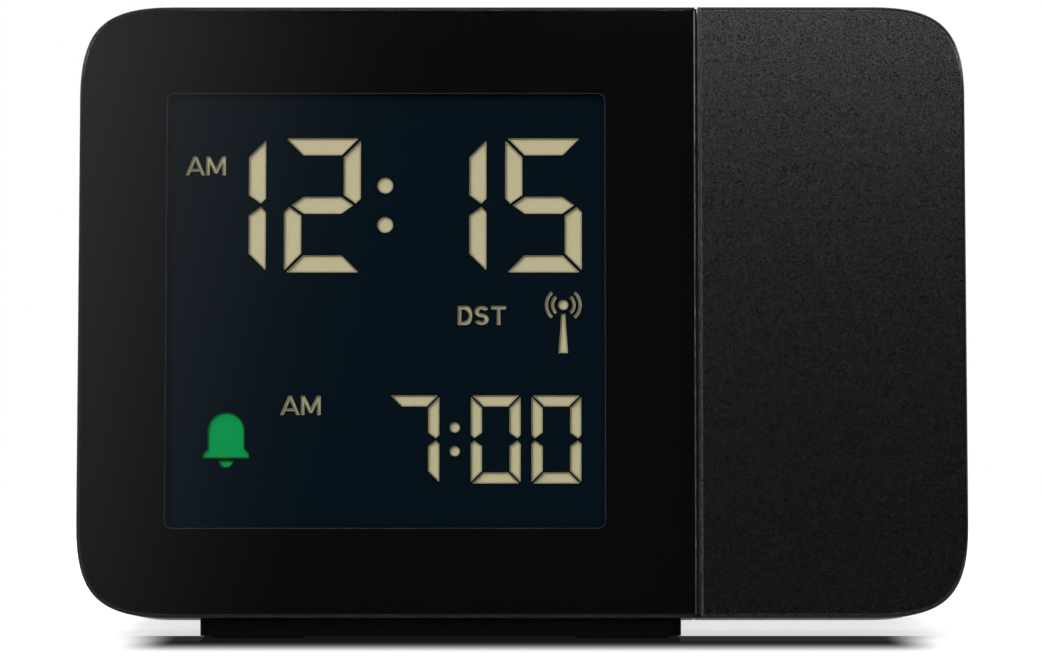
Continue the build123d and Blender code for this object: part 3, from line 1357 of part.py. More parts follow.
cell_upper = cell(CONTACT_X[0] + CONTACT_THICK + SPRING_GAP + SEAT, CELL_Z[1], 1)
write_piece(cell_upper, "aa_cell_upper")
cell_lower = cell(CONTACT_X[1] - SPRING_GAP - SEAT, CELL_Z[0], -1)
write_piece(cell_lower, "aa_cell_lower")

# ================================================================ time-signal antenna
with BuildPart() as antenna_rod:
    with BuildSketch(side_plane(ROD_X - ROD_LENGTH / 2)):
        with Locations((ROD_Y, ROD_Z)):
            Circle(ROD_RADIUS)
    extrude(amount=ROD_LENGTH)
write_piece(antenna_rod, "antenna_rod")

with BuildPart() as antenna_coil:
    with BuildSketch(side_plane(ROD_X - COIL_LENGTH / 2)):
        with Locations((ROD_Y, ROD_Z)):
            Circle(COIL_RADIUS)
            Circle(ROD_RADIUS + SEAT, mode=Mode.SUBTRACT)
    extrude(amount=COIL_LENGTH)
write_piece(antenna_coil, "antenna_coil")

with BuildPart() as antenna_clips:
    for clip_side in (-1, 1):
        clip_left = ROD_X + clip_side * ROD_CLIP_SPAN / 2 - ROD_CLIP_WIDTH / 2
        with BuildSketch(side_plane(clip_left)):
            with Locations((ROD_Y, (ROD_Z - ROD_RADIUS / 2 + HALF_HEIGHT) / 2)):
                Rectangle(3 * ROD_RADIUS, HALF_HEIGHT - ROD_Z + ROD_RADIUS / 2)
        extrude(amount=ROD_CLIP_WIDTH)
    extrude(side_outline(WALL + SEAT, -HALF_WIDTH), amount=CLOCK_WIDTH, mode=Mode.INTERSECT)
    with BuildSketch(side_plane(ROD_X - ROD_LENGTH / 2)):
        with Locations((ROD_Y, ROD_Z)):
            Circle(ROD_RADIUS + SEAT)
    extrude(amount=ROD_LENGTH, mode=Mode.SUBTRACT)
write_piece(antenna_clips, "antenna_clips")

# ================================================================ foot
FOOT_WIDTH = FOOT_RIGHT - FOOT_LEFT
FOOT_X = (FOOT_LEFT + FOOT_RIGHT) / 2
FOOT_MIDDLE = FOOT_FRONT + FOOT_LENGTH / 2
PAD_SPREAD_X = FOOT_WIDTH - PAD_LENGTH - 2 * PAD_INSET
PAD_SPREAD_Y = FOOT_LENGTH - PAD_WIDTH - 2 * PAD_INSET
FOOT_SCREW_SEATS = (
    (FOOT_SCREW_FRONT_Y, FOOT_SEAT_FRONT_Z),
    (FOOT_SCREW_REAR_Y, FOOT_SEAT_REAR_Z),
)

with BuildPart() as base_foot:
    with BuildSketch(TABLE.offset(PAD_PROUD)):
        with Locations((FOOT_X, FOOT_MIDDLE)):
            RectangleRounded(FOOT_WIDTH, FOOT_LENGTH, FOOT_CORNER)
    extrude(amount=FOOT_REACH)
    add(clock_block(-SEAT, -HALF_WIDTH, HOUSING_RIGHT, -SEAT, CLOCK_DEPTH), mode=Mode.SUBTRACT)
    with BuildSketch(TABLE.offset(PAD_PROUD)):
        with Locations((FOOT_X, FOOT_MIDDLE)):
            with GridLocations(PAD_SPREAD_X, PAD_SPREAD_Y, 2, 2):
                RectangleRounded(PAD_LENGTH + 2 * SEAT, PAD_WIDTH + 2 * SEAT, PAD_CORNER)
    extrude(amount=PAD_THICK - PAD_PROUD + SEAT, mode=Mode.SUBTRACT)
    for screw_y, seat_z in FOOT_SCREW_SEATS:
        with BuildSketch(level_plane(seat_z)):
            with Locations(*[(x, screw_y) for x in FOOT_SCREW_X]):
                Circle(SMALL_HEAD + SLIP)
        extrude(amount=-FOOT_REACH, mode=Mode.SUBTRACT)
        with BuildSketch(level_plane(seat_z)):
            with Locations(*[(x, screw_y) for x in FOOT_SCREW_X]):
                Circle(SMALL_SHANK + SLIP)
        extrude(amount=FOOT_REACH, mode=Mode.SUBTRACT)
write_piece(base_foot, "base_foot")

with BuildPart() as foot_pads:
    with BuildSketch(TABLE):
        with Locations((FOOT_X, FOOT_MIDDLE)):
            with GridLocations(PAD_SPREAD_X, PAD_SPREAD_Y, 2, 2):
                RectangleRounded(PAD_LENGTH, PAD_WIDTH, PAD_CORNER)
    extrude(amount=PAD_THICK)
write_piece(foot_pads, "foot_pads")

with BuildPart() as foot_screws:
    for screw_y, seat_z in FOOT_SCREW_SEATS:
        for screw_x in FOOT_SCREW_X:
            screw_plane = Plane(origin=(screw_x, screw_y, seat_z), z_dir=(0, 0, -1))
            add(small_screw().located(screw_plane.location))
write_piece(foot_screws, "foot_screws")

# ================================================================ fasteners of the housing
with BuildPart() as case_screws:
    for screw_x, screw_z in CASE_SCREWS:
        screw_plane = Plane(origin=(screw_x, CASE_SEAT_DEPTH, screw_z), z_dir=(0, 1, 0))
        add(case_screw().located(screw_plane.location))
write_piece(case_screws, "case_screws")

with BuildPart() as board_screws:
    for screw_x, screw_z in BOARD_POSTS:
        screw_plane = Plane(origin=(screw_x, BOARD_BACK, screw_z), z_dir=(0, 1, 0))
        add(small_screw().located(screw_plane.location))
    for screw_x, screw_z in KEY_POSTS:
        screw_plane = Plane(origin=(screw_x, KEY_BOARD_DEPTH, screw_z), z_dir=(0, -1, 0))
        add(small_screw().located(screw_plane.location))
write_piece(board_screws, "board_screws")

# ================================================================ projector pivot
BUSH_LEFT = HOUSING_RIGHT - WALL - BUSH_FLANGE_THICK
WASHER_LEFT = BUSH_LEFT - SEAT - WASHER_THICK
CLIP_LEFT = WASHER_LEFT - SEAT - CLIP_THICK
SHAFT_LEFT = CLIP_LEFT - SHAFT_END
PLATE_RIGHT = PROJECTOR_LEFT + WALL
FLANGE_RIGHT = PLATE_RIGHT + SHAFT_FLANGE_THICK

with BuildPart() as pivot_bush:
    with BuildSketch(side_plane(BUSH_LEFT)):
        with Locations((PIVOT_Y, 0)):
            Circle(BUSH_FLANGE)
    extrude(amount=BUSH_FLANGE_THICK)
    with BuildSketch(side_plane(BUSH_LEFT)):
        with Locations((PIVOT_Y, 0)):
            Circle(BUSH_RADIUS)
    extrude(amount=HOUSING_RIGHT - BUSH_LEFT)
    with BuildSketch(side_plane(BUSH_LEFT)):
        with Locations((PIVOT_Y, 0)):
            Circle(SHAFT_RADIUS + RUNNING)
    extrude(amount=HOUSING_RIGHT - BUSH_LEFT, mode=Mode.SUBTRACT)
write_piece(pivot_bush, "pivot_bush")

with BuildPart() as pivot_shaft:
    with BuildSketch(side_plane(SHAFT_LEFT)):
        with Locations((PIVOT_Y, 0)):
            Circle(SHAFT_RADIUS)
    extrude(amount=FLANGE_RIGHT - SHAFT_LEFT)
    with BuildSketch(side_plane(PLATE_RIGHT)):
        with Locations((PIVOT_Y, 0)):
            Circle(SHAFT_FLANGE)
    extrude(amount=SHAFT_FLANGE_THICK)
    with BuildSketch(side_plane(CLIP_LEFT - SEAT)):
        with Locations((PIVOT_Y, 0)):
            Circle(SHAFT_RADIUS + SEAT)
            Circle(SHAFT_RADIUS - CLIP_GROOVE, mode=Mode.SUBTRACT)
    extrude(amount=CLIP_THICK + 2 * SEAT, mode=Mode.SUBTRACT)
    with BuildSketch(side_plane(SHAFT_LEFT)):
        with Locations((PIVOT_Y, 0)):
            Circle(SHAFT_BORE)
    extrude(amount=FLANGE_RIGHT - SHAFT_LEFT, mode=Mode.SUBTRACT)
write_piece(pivot_shaft, "pivot_shaft")

with BuildPart() as pivot_washer:
    with BuildSketch(side_plane(WASHER_LEFT)):
        with Locations((PIVOT_Y, 0)):
            Circle(BUSH_FLANGE - CLEAR)
            Circle(SHAFT_RADIUS + SEAT, mode=Mode.SUBTRACT)
    extrude(amount=WASHER_THICK)
write_piece(pivot_washer, "pivot_washer")

with BuildPart() as pivot_clip:
    with BuildSketch(side_plane(CLIP_LEFT)):
        with Locations((PIVOT_Y, 0)):
            Circle(CLIP_RADIUS)
            Circle(SHAFT_RADIUS - CLIP_GROOVE + SEAT, mode=Mode.SUBTRACT)
        with Locations((PIVOT_Y, -CLIP_RADIUS)):
            Rectangle(SHAFT_RADIUS, CLIP_RADIUS, mode=Mode.SUBTRACT)
    extrude(amount=CLIP_THICK)
write_piece(pivot_clip, "pivot_clip")

# ================================================================ projector body
INNER_RIGHT = HALF_WIDTH - WALL
LENS_X = (FLANGE_RIGHT + INNER_RIGHT) / 2
WELL_FLOOR_Z = HALF_HEIGHT - WELL_DEPTH
WELL_UNDER_Z = WELL_FLOOR_Z - WELL_FLOOR
EAR_RIGHT = LENS_X + TUBE_BORE + TUBE_WALL + EAR_LAP
REAR_BOSS_REACH = BACK_RADIUS - WALL - PLATE_BOSS + PLATE_BOSS_LAP
FRONT_BOSS_Y = WALL + PLATE_BOSS - PLATE_BOSS_LAP
FRONT_BOSS_Z = INNER_TOP - PLATE_BOSS + PLATE_BOSS_LAP
REAR_BOSS_Y = ARC_Y + REAR_BOSS_REACH * cos(radians(PLATE_BOSS_ANGLE))
REAR_BOSS_Z = ARC_Z + REAR_BOSS_REACH * sin(radians(PLATE_BOSS_ANGLE))
PLATE_BOSSES = ((FRONT_BOSS_Y, FRONT_BOSS_Z), (REAR_BOSS_Y, REAR_BOSS_Z))
PLATE_SCREWS = [(y, side * z) for y, z in PLATE_BOSSES for side in (-1, 1)]
LEAD_DROP_X = (FLANGE_RIGHT + LENS_X - TUBE_BORE - TUBE_WALL) / 2
LEAD_END_X = LENS_X - LEAD_END_GAP
EAR_SCREWS = [(LENS_Y + side * EAR_SCREW_OFFSET, EAR_Z) for side in (-1, 1)]

with BuildPart() as projector_inside:
    with BuildSketch(side_plane(PLATE_RIGHT)):
        with Locations(*PLATE_SCREWS):
            Circle(PLATE_BOSS)
    extrude(amount=PLATE_BOSS_LENGTH)
    with BuildSketch(side_plane(EAR_RIGHT)):
        with Locations(*EAR_SCREWS):
            Circle(EAR_POST)
    extrude(amount=HALF_WIDTH - WALL / 2 - EAR_RIGHT)
    with BuildSketch(level_plane(WELL_UNDER_Z)):
        with Locations((LENS_X, LENS_Y)):
            Circle(WELL_RADIUS + WELL_PAD)
    extrude(amount=WELL_FLOOR + WALL)
    add(
        clock_block(WALL / 2, PROJECTOR_LEFT, HALF_WIDTH, WALL / 2, CLOCK_DEPTH),
        mode=Mode.INTERSECT,
    )

projector_skin = rounded_block(PROJECTOR_LEFT, HALF_WIDTH, 0, CLOCK_DEPTH)
with BuildPart() as projector_shell:
    add(projector_skin)
    fillet(projector_shell.faces().sort_by(Axis.Y)[0].edges(), radius=EDGE_ROUND)
    add(
        clock_block(WALL, PROJECTOR_LEFT, HALF_WIDTH, WALL, CLOCK_DEPTH),
        mode=Mode.SUBTRACT,
    )
    add(projector_inside.part)
    with BuildSketch(level_plane(WELL_FLOOR_Z)):
        with Locations((LENS_X, LENS_Y)):
            Circle(WELL_RADIUS)
    extrude(amount=WELL_DEPTH, mode=Mode.SUBTRACT)
    with BuildSketch(level_plane(WELL_UNDER_Z)):
        with Locations((LENS_X, LENS_Y)):
            Circle(RING_BORE + SKIRT_WALL + CLEAR)
    extrude(amount=WELL_FLOOR, mode=Mode.SUBTRACT)
    with BuildSketch(side_plane(PLATE_RIGHT)):
        with Locations(*PLATE_SCREWS):
            Circle(SMALL_SHANK + SEAT)
    extrude(amount=SMALL_LENGTH, mode=Mode.SUBTRACT)
    with BuildSketch(side_plane(EAR_RIGHT)):
        with Locations(*EAR_SCREWS):
            Circle(SMALL_SHANK + SEAT)
    extrude(amount=SMALL_LENGTH - EAR_THICK + SEAT, mode=Mode.SUBTRACT)
write_piece(projector_shell, "projector_shell")

PLATE_SEAT = SMALL_HEAD_HEIGHT + SEAT
with BuildPart() as projector_side_plate:
    add(clock_block(WALL + SEAT, PROJECTOR_LEFT, PLATE_RIGHT, WALL + SEAT, CLOCK_DEPTH))
    with BuildSketch(side_plane(PROJECTOR_LEFT)):
        with Locations((PIVOT_Y, 0)):
            Circle(SHAFT_RADIUS + SEAT)
        with Locations(*PLATE_SCREWS):
            Circle(SMALL_SHANK + SLIP)
    extrude(amount=WALL, mode=Mode.SUBTRACT)
    with BuildSketch(side_plane(PROJECTOR_LEFT)):
        with Locations(*PLATE_SCREWS):
            Circle(SMALL_HEAD + SLIP)
    extrude(amount=PLATE_SEAT, mode=Mode.SUBTRACT)
write_piece(projector_side_plate, "projector_side_plate")

# ================================================================ projector optics
LENS_AXIS = Plane(origin=(LENS_X, LENS_Y, 0), x_dir=(1, 0, 0), z_dir=(0, -1, 0))
TUBE_TOP = WELL_UNDER_Z - SEAT
TUBE_BOTTOM = TUBE_TOP - TUBE_LENGTH
TUBE_OUTER = TUBE_BORE + TUBE_WALL
TUBE_LEDGES = (SLIDE_LEDGE_Z, CONDENSER_LEDGE_Z)
LED_SCREWS = [(LENS_X, LENS_Y + side * LED_SCREW_OFFSET) for side in (-1, 1)]

with BuildPart() as projector_tube:
    with BuildSketch(level_plane(TUBE_BOTTOM)):
        with Locations((LENS_X, LENS_Y)):
            Circle(TUBE_OUTER)
    extrude(amount=TUBE_LENGTH)
    with BuildSketch(level_plane(TUBE_BOTTOM)):
        with Locations((LENS_X, LENS_Y)):
            SlotOverall(2 * TUBE_FLANGE, 4 * SMALL_HEAD, rotation=90)
    extrude(amount=TUBE_FLANGE_THICK)
    with BuildSketch(side_plane(EAR_RIGHT - EAR_THICK)):
        with Locations((LENS_Y, EAR_Z)):
            Rectangle(EAR_SPAN, EAR_HEIGHT)
        with Locations(*EAR_SCREWS):
            Circle(SMALL_SHANK + SLIP, mode=Mode.SUBTRACT)
    extrude(amount=EAR_THICK)
    with BuildSketch(level_plane(TUBE_BOTTOM)):
        with Locations((LENS_X, LENS_Y)):
            Circle(TUBE_BORE)
    extrude(amount=TUBE_LENGTH, mode=Mode.SUBTRACT)
    for ledge_z in TUBE_LEDGES:
        with BuildSketch(level_plane(ledge_z)):
            with Locations((LENS_X, LENS_Y)):
                Circle(TUBE_BORE + SEAT)
                Circle(TUBE_BORE - TUBE_LEDGE_REACH, mode=Mode.SUBTRACT)
        extrude(amount=TUBE_LEDGE_THICK)
    with BuildSketch(level_plane(TUBE_BOTTOM)):
        with Locations(*LED_SCREWS):
            Circle(SMALL_SHANK + SEAT)
    extrude(amount=SMALL_LENGTH - BOARD_THICK + SEAT, mode=Mode.SUBTRACT)
write_piece(projector_tube, "projector_tube")

with BuildPart() as projection_slide:
    with BuildSketch(level_plane(SLIDE_LEDGE_Z + TUBE_LEDGE_THICK)):
        with Locations((LENS_X, LENS_Y)):
            Rectangle(SLIDE_WIDTH, SLIDE_HEIGHT)
    extrude(amount=SLIDE_THICK)
write_piece(projection_slide, "projection_slide")

condenser_lens = dome(
    LENS_X,
    LENS_Y,
    CONDENSER_LEDGE_Z + TUBE_LEDGE_THICK,
    TUBE_BORE - CLEAR,
    CONDENSER_RIM,
    CONDENSER_BULGE,
)
write_piece(condenser_lens, "condenser_lens")

with BuildPart() as led_board:
    led_board_plane = level_plane(TUBE_BOTTOM - BOARD_THICK)
    with BuildSketch(led_board_plane):
        with Locations((LENS_X, LENS_Y)):
            Rectangle(LED_BOARD_WIDTH, LED_BOARD_LENGTH)
        with Locations(*LED_SCREWS):
            Circle(SMALL_SHANK + SLIP, mode=Mode.SUBTRACT)
    extrude(amount=BOARD_THICK)
    with BuildSketch(led_board_plane):
        with Locations((LEAD_END_X + CLEAR + PLUG_LENGTH / 2, LENS_Y)):
            Rectangle(PLUG_LENGTH, PLUG_WIDTH)
    extrude(amount=-PLUG_HEIGHT)
write_piece(led_board, "led_board")

with BuildPart() as projector_led:
    with BuildSketch(level_plane(TUBE_BOTTOM)):
        with Locations((LENS_X, LENS_Y)):
            Circle(LED_RADIUS)
    extrude(amount=LED_LENGTH)
    fillet(projector_led.faces().sort_by(Axis.Z)[-1].edges(), radius=LED_RADIUS * 0.9)
    with BuildSketch(level_plane(TUBE_BOTTOM)):
        with Locations((LENS_X, LENS_Y)):
            Circle(LED_FLANGE)
    extrude(amount=LED_FLANGE_THICK)
write_piece(projector_led, "projector_led")

with BuildPart() as projector_screws:
    for screw_y, screw_z in PLATE_SCREWS:
        seat_x = PROJECTOR_LEFT + PLATE_SEAT
        screw_plane = Plane(origin=(seat_x, screw_y, screw_z), z_dir=(-1, 0, 0))
        add(small_screw().located(screw_plane.location))
    for screw_y, screw_z in EAR_SCREWS:
        screw_plane = Plane(origin=(EAR_RIGHT - EAR_THICK, screw_y, screw_z), z_dir=(-1, 0, 0))
        add(small_screw().located(screw_plane.location))
    for screw_x, screw_y in LED_SCREWS:
        screw_plane = Plane(origin=(screw_x, screw_y, TUBE_BOTTOM - BOARD_THICK), z_dir=(0, 0, -1))
        add(small_screw().located(screw_plane.location))
write_piece(projector_screws, "projector_screws")

with BuildPart() as projector_lead:
    with BuildLine() as lead_path:
        FilletPolyline(
            (LEAD_START_X, PIVOT_Y, 0),
            (LEAD_DROP_X, PIVOT_Y, 0),
            (LEAD_DROP_X, LENS_Y, LEAD_BOTTOM_Z),
            (LEAD_END_X, LENS_Y, LEAD_BOTTOM_Z),
            radius=[LEAD_BEND, LEAD_END_BEND],
        )
    with BuildSketch(side_plane(LEAD_START_X)):
        with Locations((PIVOT_Y, 0)):
            Circle(LEAD_RADIUS)
    sweep(path=lead_path.wire())
write_piece(projector_lead, "projector_lead")

# ================================================================ focus ring and lens barrel
RING_BOTTOM = WELL_FLOOR_Z + SLIP
RING_TOP = RING_BOTTOM + RING_HEIGHT
BARREL_TOP = HALF_HEIGHT - BARREL_DROP
BARREL_BORE = BARREL_RADIUS - BARREL_WALL
LENS_SEAT_Z = BARREL_TOP - LENS_SEAT_DROP
with BuildPart() as focus_ring:
    with BuildSketch(LENS_AXIS):
        with BuildLine():
            Polyline(
                (RING_BORE, RING_BOTTOM - SKIRT_LENGTH),
                (RING_BORE + SKIRT_WALL, RING_BOTTOM - SKIRT_LENGTH),
                (RING_BORE + SKIRT_WALL, RING_BOTTOM),
                (RING_RADIUS, RING_BOTTOM),
                (RING_RADIUS, RING_TOP - CLEAR),
                (RING_RADIUS - CLEAR, RING_TOP),
                (RING_BORE + RING_DISH, RING_TOP),
                (RING_BORE, RING_TOP - RING_DISH_DEPTH),
                close=True,
            )
        make_face()
    revolve(axis=Axis((LENS_X, LENS_Y, 0), (0, 0, 1)))
    with BuildSketch(level_plane(RING_BOTTOM)):
        with Locations((LENS_X, LENS_Y)):
            with PolarLocations(RING_RADIUS, RING_NOTCHES):
                Circle(RING_NOTCH)
    extrude(amount=RING_HEIGHT, mode=Mode.SUBTRACT)
write_piece(focus_ring, "focus_ring")

with BuildPart() as lens_barrel:
    with BuildSketch(LENS_AXIS):
        with BuildLine():
            Polyline(
                (BARREL_BORE - LEDGE, BARREL_TOP - BARREL_LENGTH),
                (BARREL_RADIUS, BARREL_TOP - BARREL_LENGTH),
                (BARREL_RADIUS, BARREL_TOP),
                (BARREL_BORE, BARREL_TOP),
                (BARREL_BORE, LENS_SEAT_Z),
                (BARREL_BORE - LEDGE, LENS_SEAT_Z),
                close=True,
            )
        make_face()
    revolve(axis=Axis((LENS_X, LENS_Y, 0), (0, 0, 1)))
write_piece(lens_barrel, "lens_barrel")

projection_lens = dome(LENS_X, LENS_Y, LENS_SEAT_Z, BARREL_BORE - SEAT, LENS_RIM, LENS_BULGE)
write_piece(projection_lens, "projection_lens")
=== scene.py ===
"""Dresses the projection alarm clock: its finishes, its printed marks and its studio."""

import logging
import math
from dataclasses import dataclass, field
from enum import Enum
from typing import ClassVar, Iterable, Sequence

import bmesh
import bpy
from mathutils import Matrix, Vector


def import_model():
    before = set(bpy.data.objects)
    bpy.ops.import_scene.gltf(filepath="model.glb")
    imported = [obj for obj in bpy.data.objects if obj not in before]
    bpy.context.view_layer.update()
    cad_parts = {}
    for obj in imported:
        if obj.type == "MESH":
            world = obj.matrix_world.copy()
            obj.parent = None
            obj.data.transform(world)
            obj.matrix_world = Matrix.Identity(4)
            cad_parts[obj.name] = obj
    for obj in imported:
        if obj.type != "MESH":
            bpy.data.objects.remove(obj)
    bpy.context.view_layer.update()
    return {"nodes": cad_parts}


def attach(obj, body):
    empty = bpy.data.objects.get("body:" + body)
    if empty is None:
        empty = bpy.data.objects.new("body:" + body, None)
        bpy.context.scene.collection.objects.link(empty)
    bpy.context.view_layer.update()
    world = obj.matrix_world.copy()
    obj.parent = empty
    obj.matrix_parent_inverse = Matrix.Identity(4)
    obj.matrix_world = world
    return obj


log = logging.getLogger("clock")

MM = 0.001
Colour = tuple[float, float, float]
Point = tuple[float, float]
Face = tuple[int, ...]
Socket = bpy.types.NodeSocket
Feed = Socket | float | tuple[float, ...]


# ------------------------------------------------------------------ where things are
@dataclass(frozen=True)
class LeanedFrame:
    """The clock's own frame, in millimetres, and how it stands on the table."""

    lean: float = math.radians(5.0)
    half_height: float = 45.9
    front_lift: float = 3.35
    shift: float = -23.5965

    @property
    def outward(self) -> tuple[float, float, float]:
        """Direction straight out of the clock's face."""
        return (0.0, -math.cos(self.lean), math.sin(self.lean))

    def place(self, x: float, y: float, z: float) -> Vector:
        """World place of a point of the clock.

        Args:
            x: Millimetres to the user's right of the face's middle.
            y: Millimetres behind the face.
            z: Millimetres up along the face from its middle.

        Returns:
            The point in metres in the shared frame.
        """
        cos, sin = math.cos(self.lean), math.sin(self.lean)
        world_y = y * cos + z * sin + self.shift
        world_z = -y * sin + z * cos + self.front_lift + self.half_height * cos
        return Vector((x, world_y, world_z)) * MM

    def locate(self, point: Vector) -> Vector:
        """Clock coordinates of a world point, the reverse of place.

        Args:
            point: The point in metres in the shared frame.

        Returns:
            Millimetres to the right, behind the face and up along it.
        """
        cos, sin = math.cos(self.lean), math.sin(self.lean)
        away = point.y / MM - self.shift
        high = point.z / MM - self.front_lift - self.half_height * cos
        return Vector((point.x / MM, away * cos - high * sin, away * sin + high * cos))

    def back_sheet(self, x: float, y: float, z: float) -> Matrix:
        """World matrix of a sheet drawn in X and Y that faces the clock's back.

        Args:
            x: Sheet origin to the right, in millimetres.
            y: Sheet origin behind the face, in millimetres.
            z: Sheet origin up the face, in millimetres.

        Returns:
            A matrix whose third axis is the sheet's outward side.
        """
        cos, sin = math.cos(self.lean), math.sin(self.lean)
        turn = Matrix(((-1, 0, 0), (0, sin, cos), (0, cos, -sin))).transposed().to_4x4()
        return Matrix.Translation(self.place(x, y, z)) @ turn

    def corners_of(self, node: str) -> list[Vector]:
        """Clock coordinates of every corner of a piece."""
        piece = bpy.data.objects[node]
        return [self.locate(piece.matrix_world @ c.co) for c in piece.data.vertices]


FRAME = LeanedFrame()


def bring_in(name: str, data: bpy.types.ID) -> bpy.types.Object:
    """Brings a new object into the scene.

    Args:
        name: Its name.
        data: Its mesh, curve, lamp or camera.

    Returns:
        The object.
    """
    made = bpy.data.objects.new(name, data)
    bpy.context.scene.collection.objects.link(made)
    return made


# ------------------------------------------------------------------ node trees
class NodeBench:
    """Node tree that is put together by short calls."""

    def __init__(self, tree: bpy.types.NodeTree) -> None:
        """Starts with an empty tree.

        Args:
            tree: The tree to fill.
        """
        self.tree = tree
        self.tree.nodes.clear()

    def node(
        self, kind: str, feeds: dict[str | int, Feed] | None = None, **settings: object
    ) -> bpy.types.Node:
        """Adds a node, sets its own properties and feeds its inputs.

        Args:
            kind: Short node type, without the ShaderNode prefix.
            feeds: The socket or the plain value for each input.
            **settings: Properties of the node.

        Returns:
            The new node.
        """
        made = self.tree.nodes.new("ShaderNode" + kind)
        for key, value in settings.items():
            setattr(made, key, value)
        for slot, feed in (feeds or {}).items():
            if isinstance(feed, Socket):
                self.tree.links.new(feed, made.inputs[slot])
            else:
                made.inputs[slot].default_value = feed
        return made

    def math(self, operation: str, first: Feed, second: Feed = 0.0) -> Socket:
        """Result of one operation on a value, or on two."""
        return self.node("Math", {0: first, 1: second}, operation=operation).outputs["Value"]

    def product(self, *shares: Feed) -> Socket:
        """Multiplies several shares with each other.

        Args:
            *shares: Sockets or plain values.

        Returns:
            The product's socket.
        """
        whole = shares[0]
        for share in shares[1:]:
            whole = self.math("MULTIPLY", whole, share)
        return whole

    def ruler(self, value: Feed, span: Point, result: Point, ease: bool = False) -> Socket:
        """Maps one range onto another.

        Args:
            value: The value to follow.
            span: Its lowest and highest value.
            result: Result at each of the two.
            ease: Whether the result eases in and out.

        Returns:
            The result's socket.
        """
        feeds = {
            "Value": value,
            "From Min": span[0],
            "From Max": span[1],
            "To Min": result[0],
            "To Max": result[1],
        }
        kind = "SMOOTHSTEP" if ease else "LINEAR"
        return self.node("MapRange", feeds, interpolation_type=kind).outputs["Result"]

    def axes(self, vector: Socket) -> tuple[Socket, ...]:
        """The three parts of a vector."""
        split = self.node("SeparateXYZ", {"Vector": vector})
        return tuple(split.outputs[axis] for axis in "XYZ")

    def mix(self, share: Socket, first: Socket, second: Socket) -> Socket:
        """Two shaders, the second one in a share."""
        return self.node("MixShader", {0: share, 1: first, 2: second}).outputs["Shader"]


class FinishTree(NodeBench):
    """Node tree of one finish, with short calls for what the finishes share."""

    NOISE_SPAN = (0.3, 0.7)

    def __init__(self, name: str) -> None:
        """Starts an empty material.

        Args:
            name: The finish's name.
        """
        self.material = bpy.data.materials.new(name)
        self.material.use_nodes = True
        super().__init__(self.material.node_tree)
        self.place = self.node("TexCoord").outputs["Object"]

    def noise(self, size: float, detail: float = 2.0) -> Socket:
        """Noise with blotches of a size in metres and a number of finer layers."""
        feeds = {"Vector": self.place, "Scale": 1.0 / size, "Detail": detail}
        return self.node("TexNoise", feeds).outputs["Fac"]

    def spread(self, value: Socket, low: float, high: float) -> Socket:
        """Noise mapped onto a range."""
        return self.ruler(value, self.NOISE_SPAN, (low, high))

    def ease(self, value: Socket, zero: float, one: float) -> Socket:
        """Smooth rise from nought to one.

        Args:
            value: The value to follow.
            zero: Value at which the result is nought.
            one: Value at which the result is one.

        Returns:
            The result's socket.
        """
        ends = (1.0, 0.0) if zero > one else (0.0, 1.0)
        return self.ruler(value, (min(zero, one), max(zero, one)), ends, ease=True)

    def two_tone(
        self,
        value: Socket,
        first: Colour,
        second: Colour,
        span: Point = NOISE_SPAN,
        blend: str = "LINEAR",
    ) -> Socket:
        """Ramp between two colours.

        Args:
            value: Value that picks between them.
            first: Colour where the value is low.
            second: Colour where the value is high.
            span: Values at which each colour stands.
            blend: How one colour turns into the other.

        Returns:
            The colour socket.
        """
        ramp = self.node("ValToRGB", {"Fac": value})
        ramp.color_ramp.interpolation = blend
        for stop, at, colour in zip(ramp.color_ramp.elements, span, (first, second)):
            stop.position = at
            stop.color = (*colour, 1.0)
        return ramp.outputs["Color"]

    def mottled(self, value: Socket, colour: Colour, share: float) -> Socket:
        """A colour that noise makes darker and lighter by a share."""
        return self.two_tone(value, shade(colour, 1.0 - share), shade(colour, 1.0 + share))

    def bump(self, value: Socket, depth: float, edge: float = 0.0) -> Socket:
        """Raises the surface by a value, over edges that are broken a little.

        Args:
            value: Height of the surface, 0 to 1.
            depth: Full height in metres.
            edge: Radius of the softened edges, in metres.

        Returns:
            The normal socket.
        """
        if edge:
            under = self.node("Bevel", {"Radius": edge}, samples=6).outputs["Normal"]
        else:
            under = self.node("NewGeometry").outputs["True Normal"]
        feeds = {"Strength": 1.0, "Distance": depth, "Height": value, "Normal": under}
        return self.node("Bump", feeds).outputs["Normal"]

    def glow(self, level: float, strength: Feed = 1.0) -> Socket:
        """Shader that glows grey."""
        feeds = {"Color": grey(level), "Strength": strength}
        return self.node("Emission", feeds).outputs["Emission"]

    def both(self, first: Socket, second: Socket) -> Socket:
        """Two shaders added."""
        return self.node("AddShader", {0: first, 1: second}).outputs["Shader"]

    def body(self, feeds: dict[str | int, Feed]) -> Socket:
        """Shader of a plain body with the given inputs."""
        return self.node("BsdfPrincipled", feeds).outputs["BSDF"]

    def surface(self, shader: Socket) -> bpy.types.Material:
        """Closes the tree with its shader and returns the material."""
        self.node("OutputMaterial", {"Surface": shader})
        return self.material


def shade(colour: Colour, share: float) -> Colour:
    """Same colour, lighter or darker by a share."""
    return tuple(min(1.0, part * share) for part in colour)


def grey(level: float) -> tuple[float, float, float, float]:
    """Opaque grey of one level."""
    return (level, level, level, 1.0)


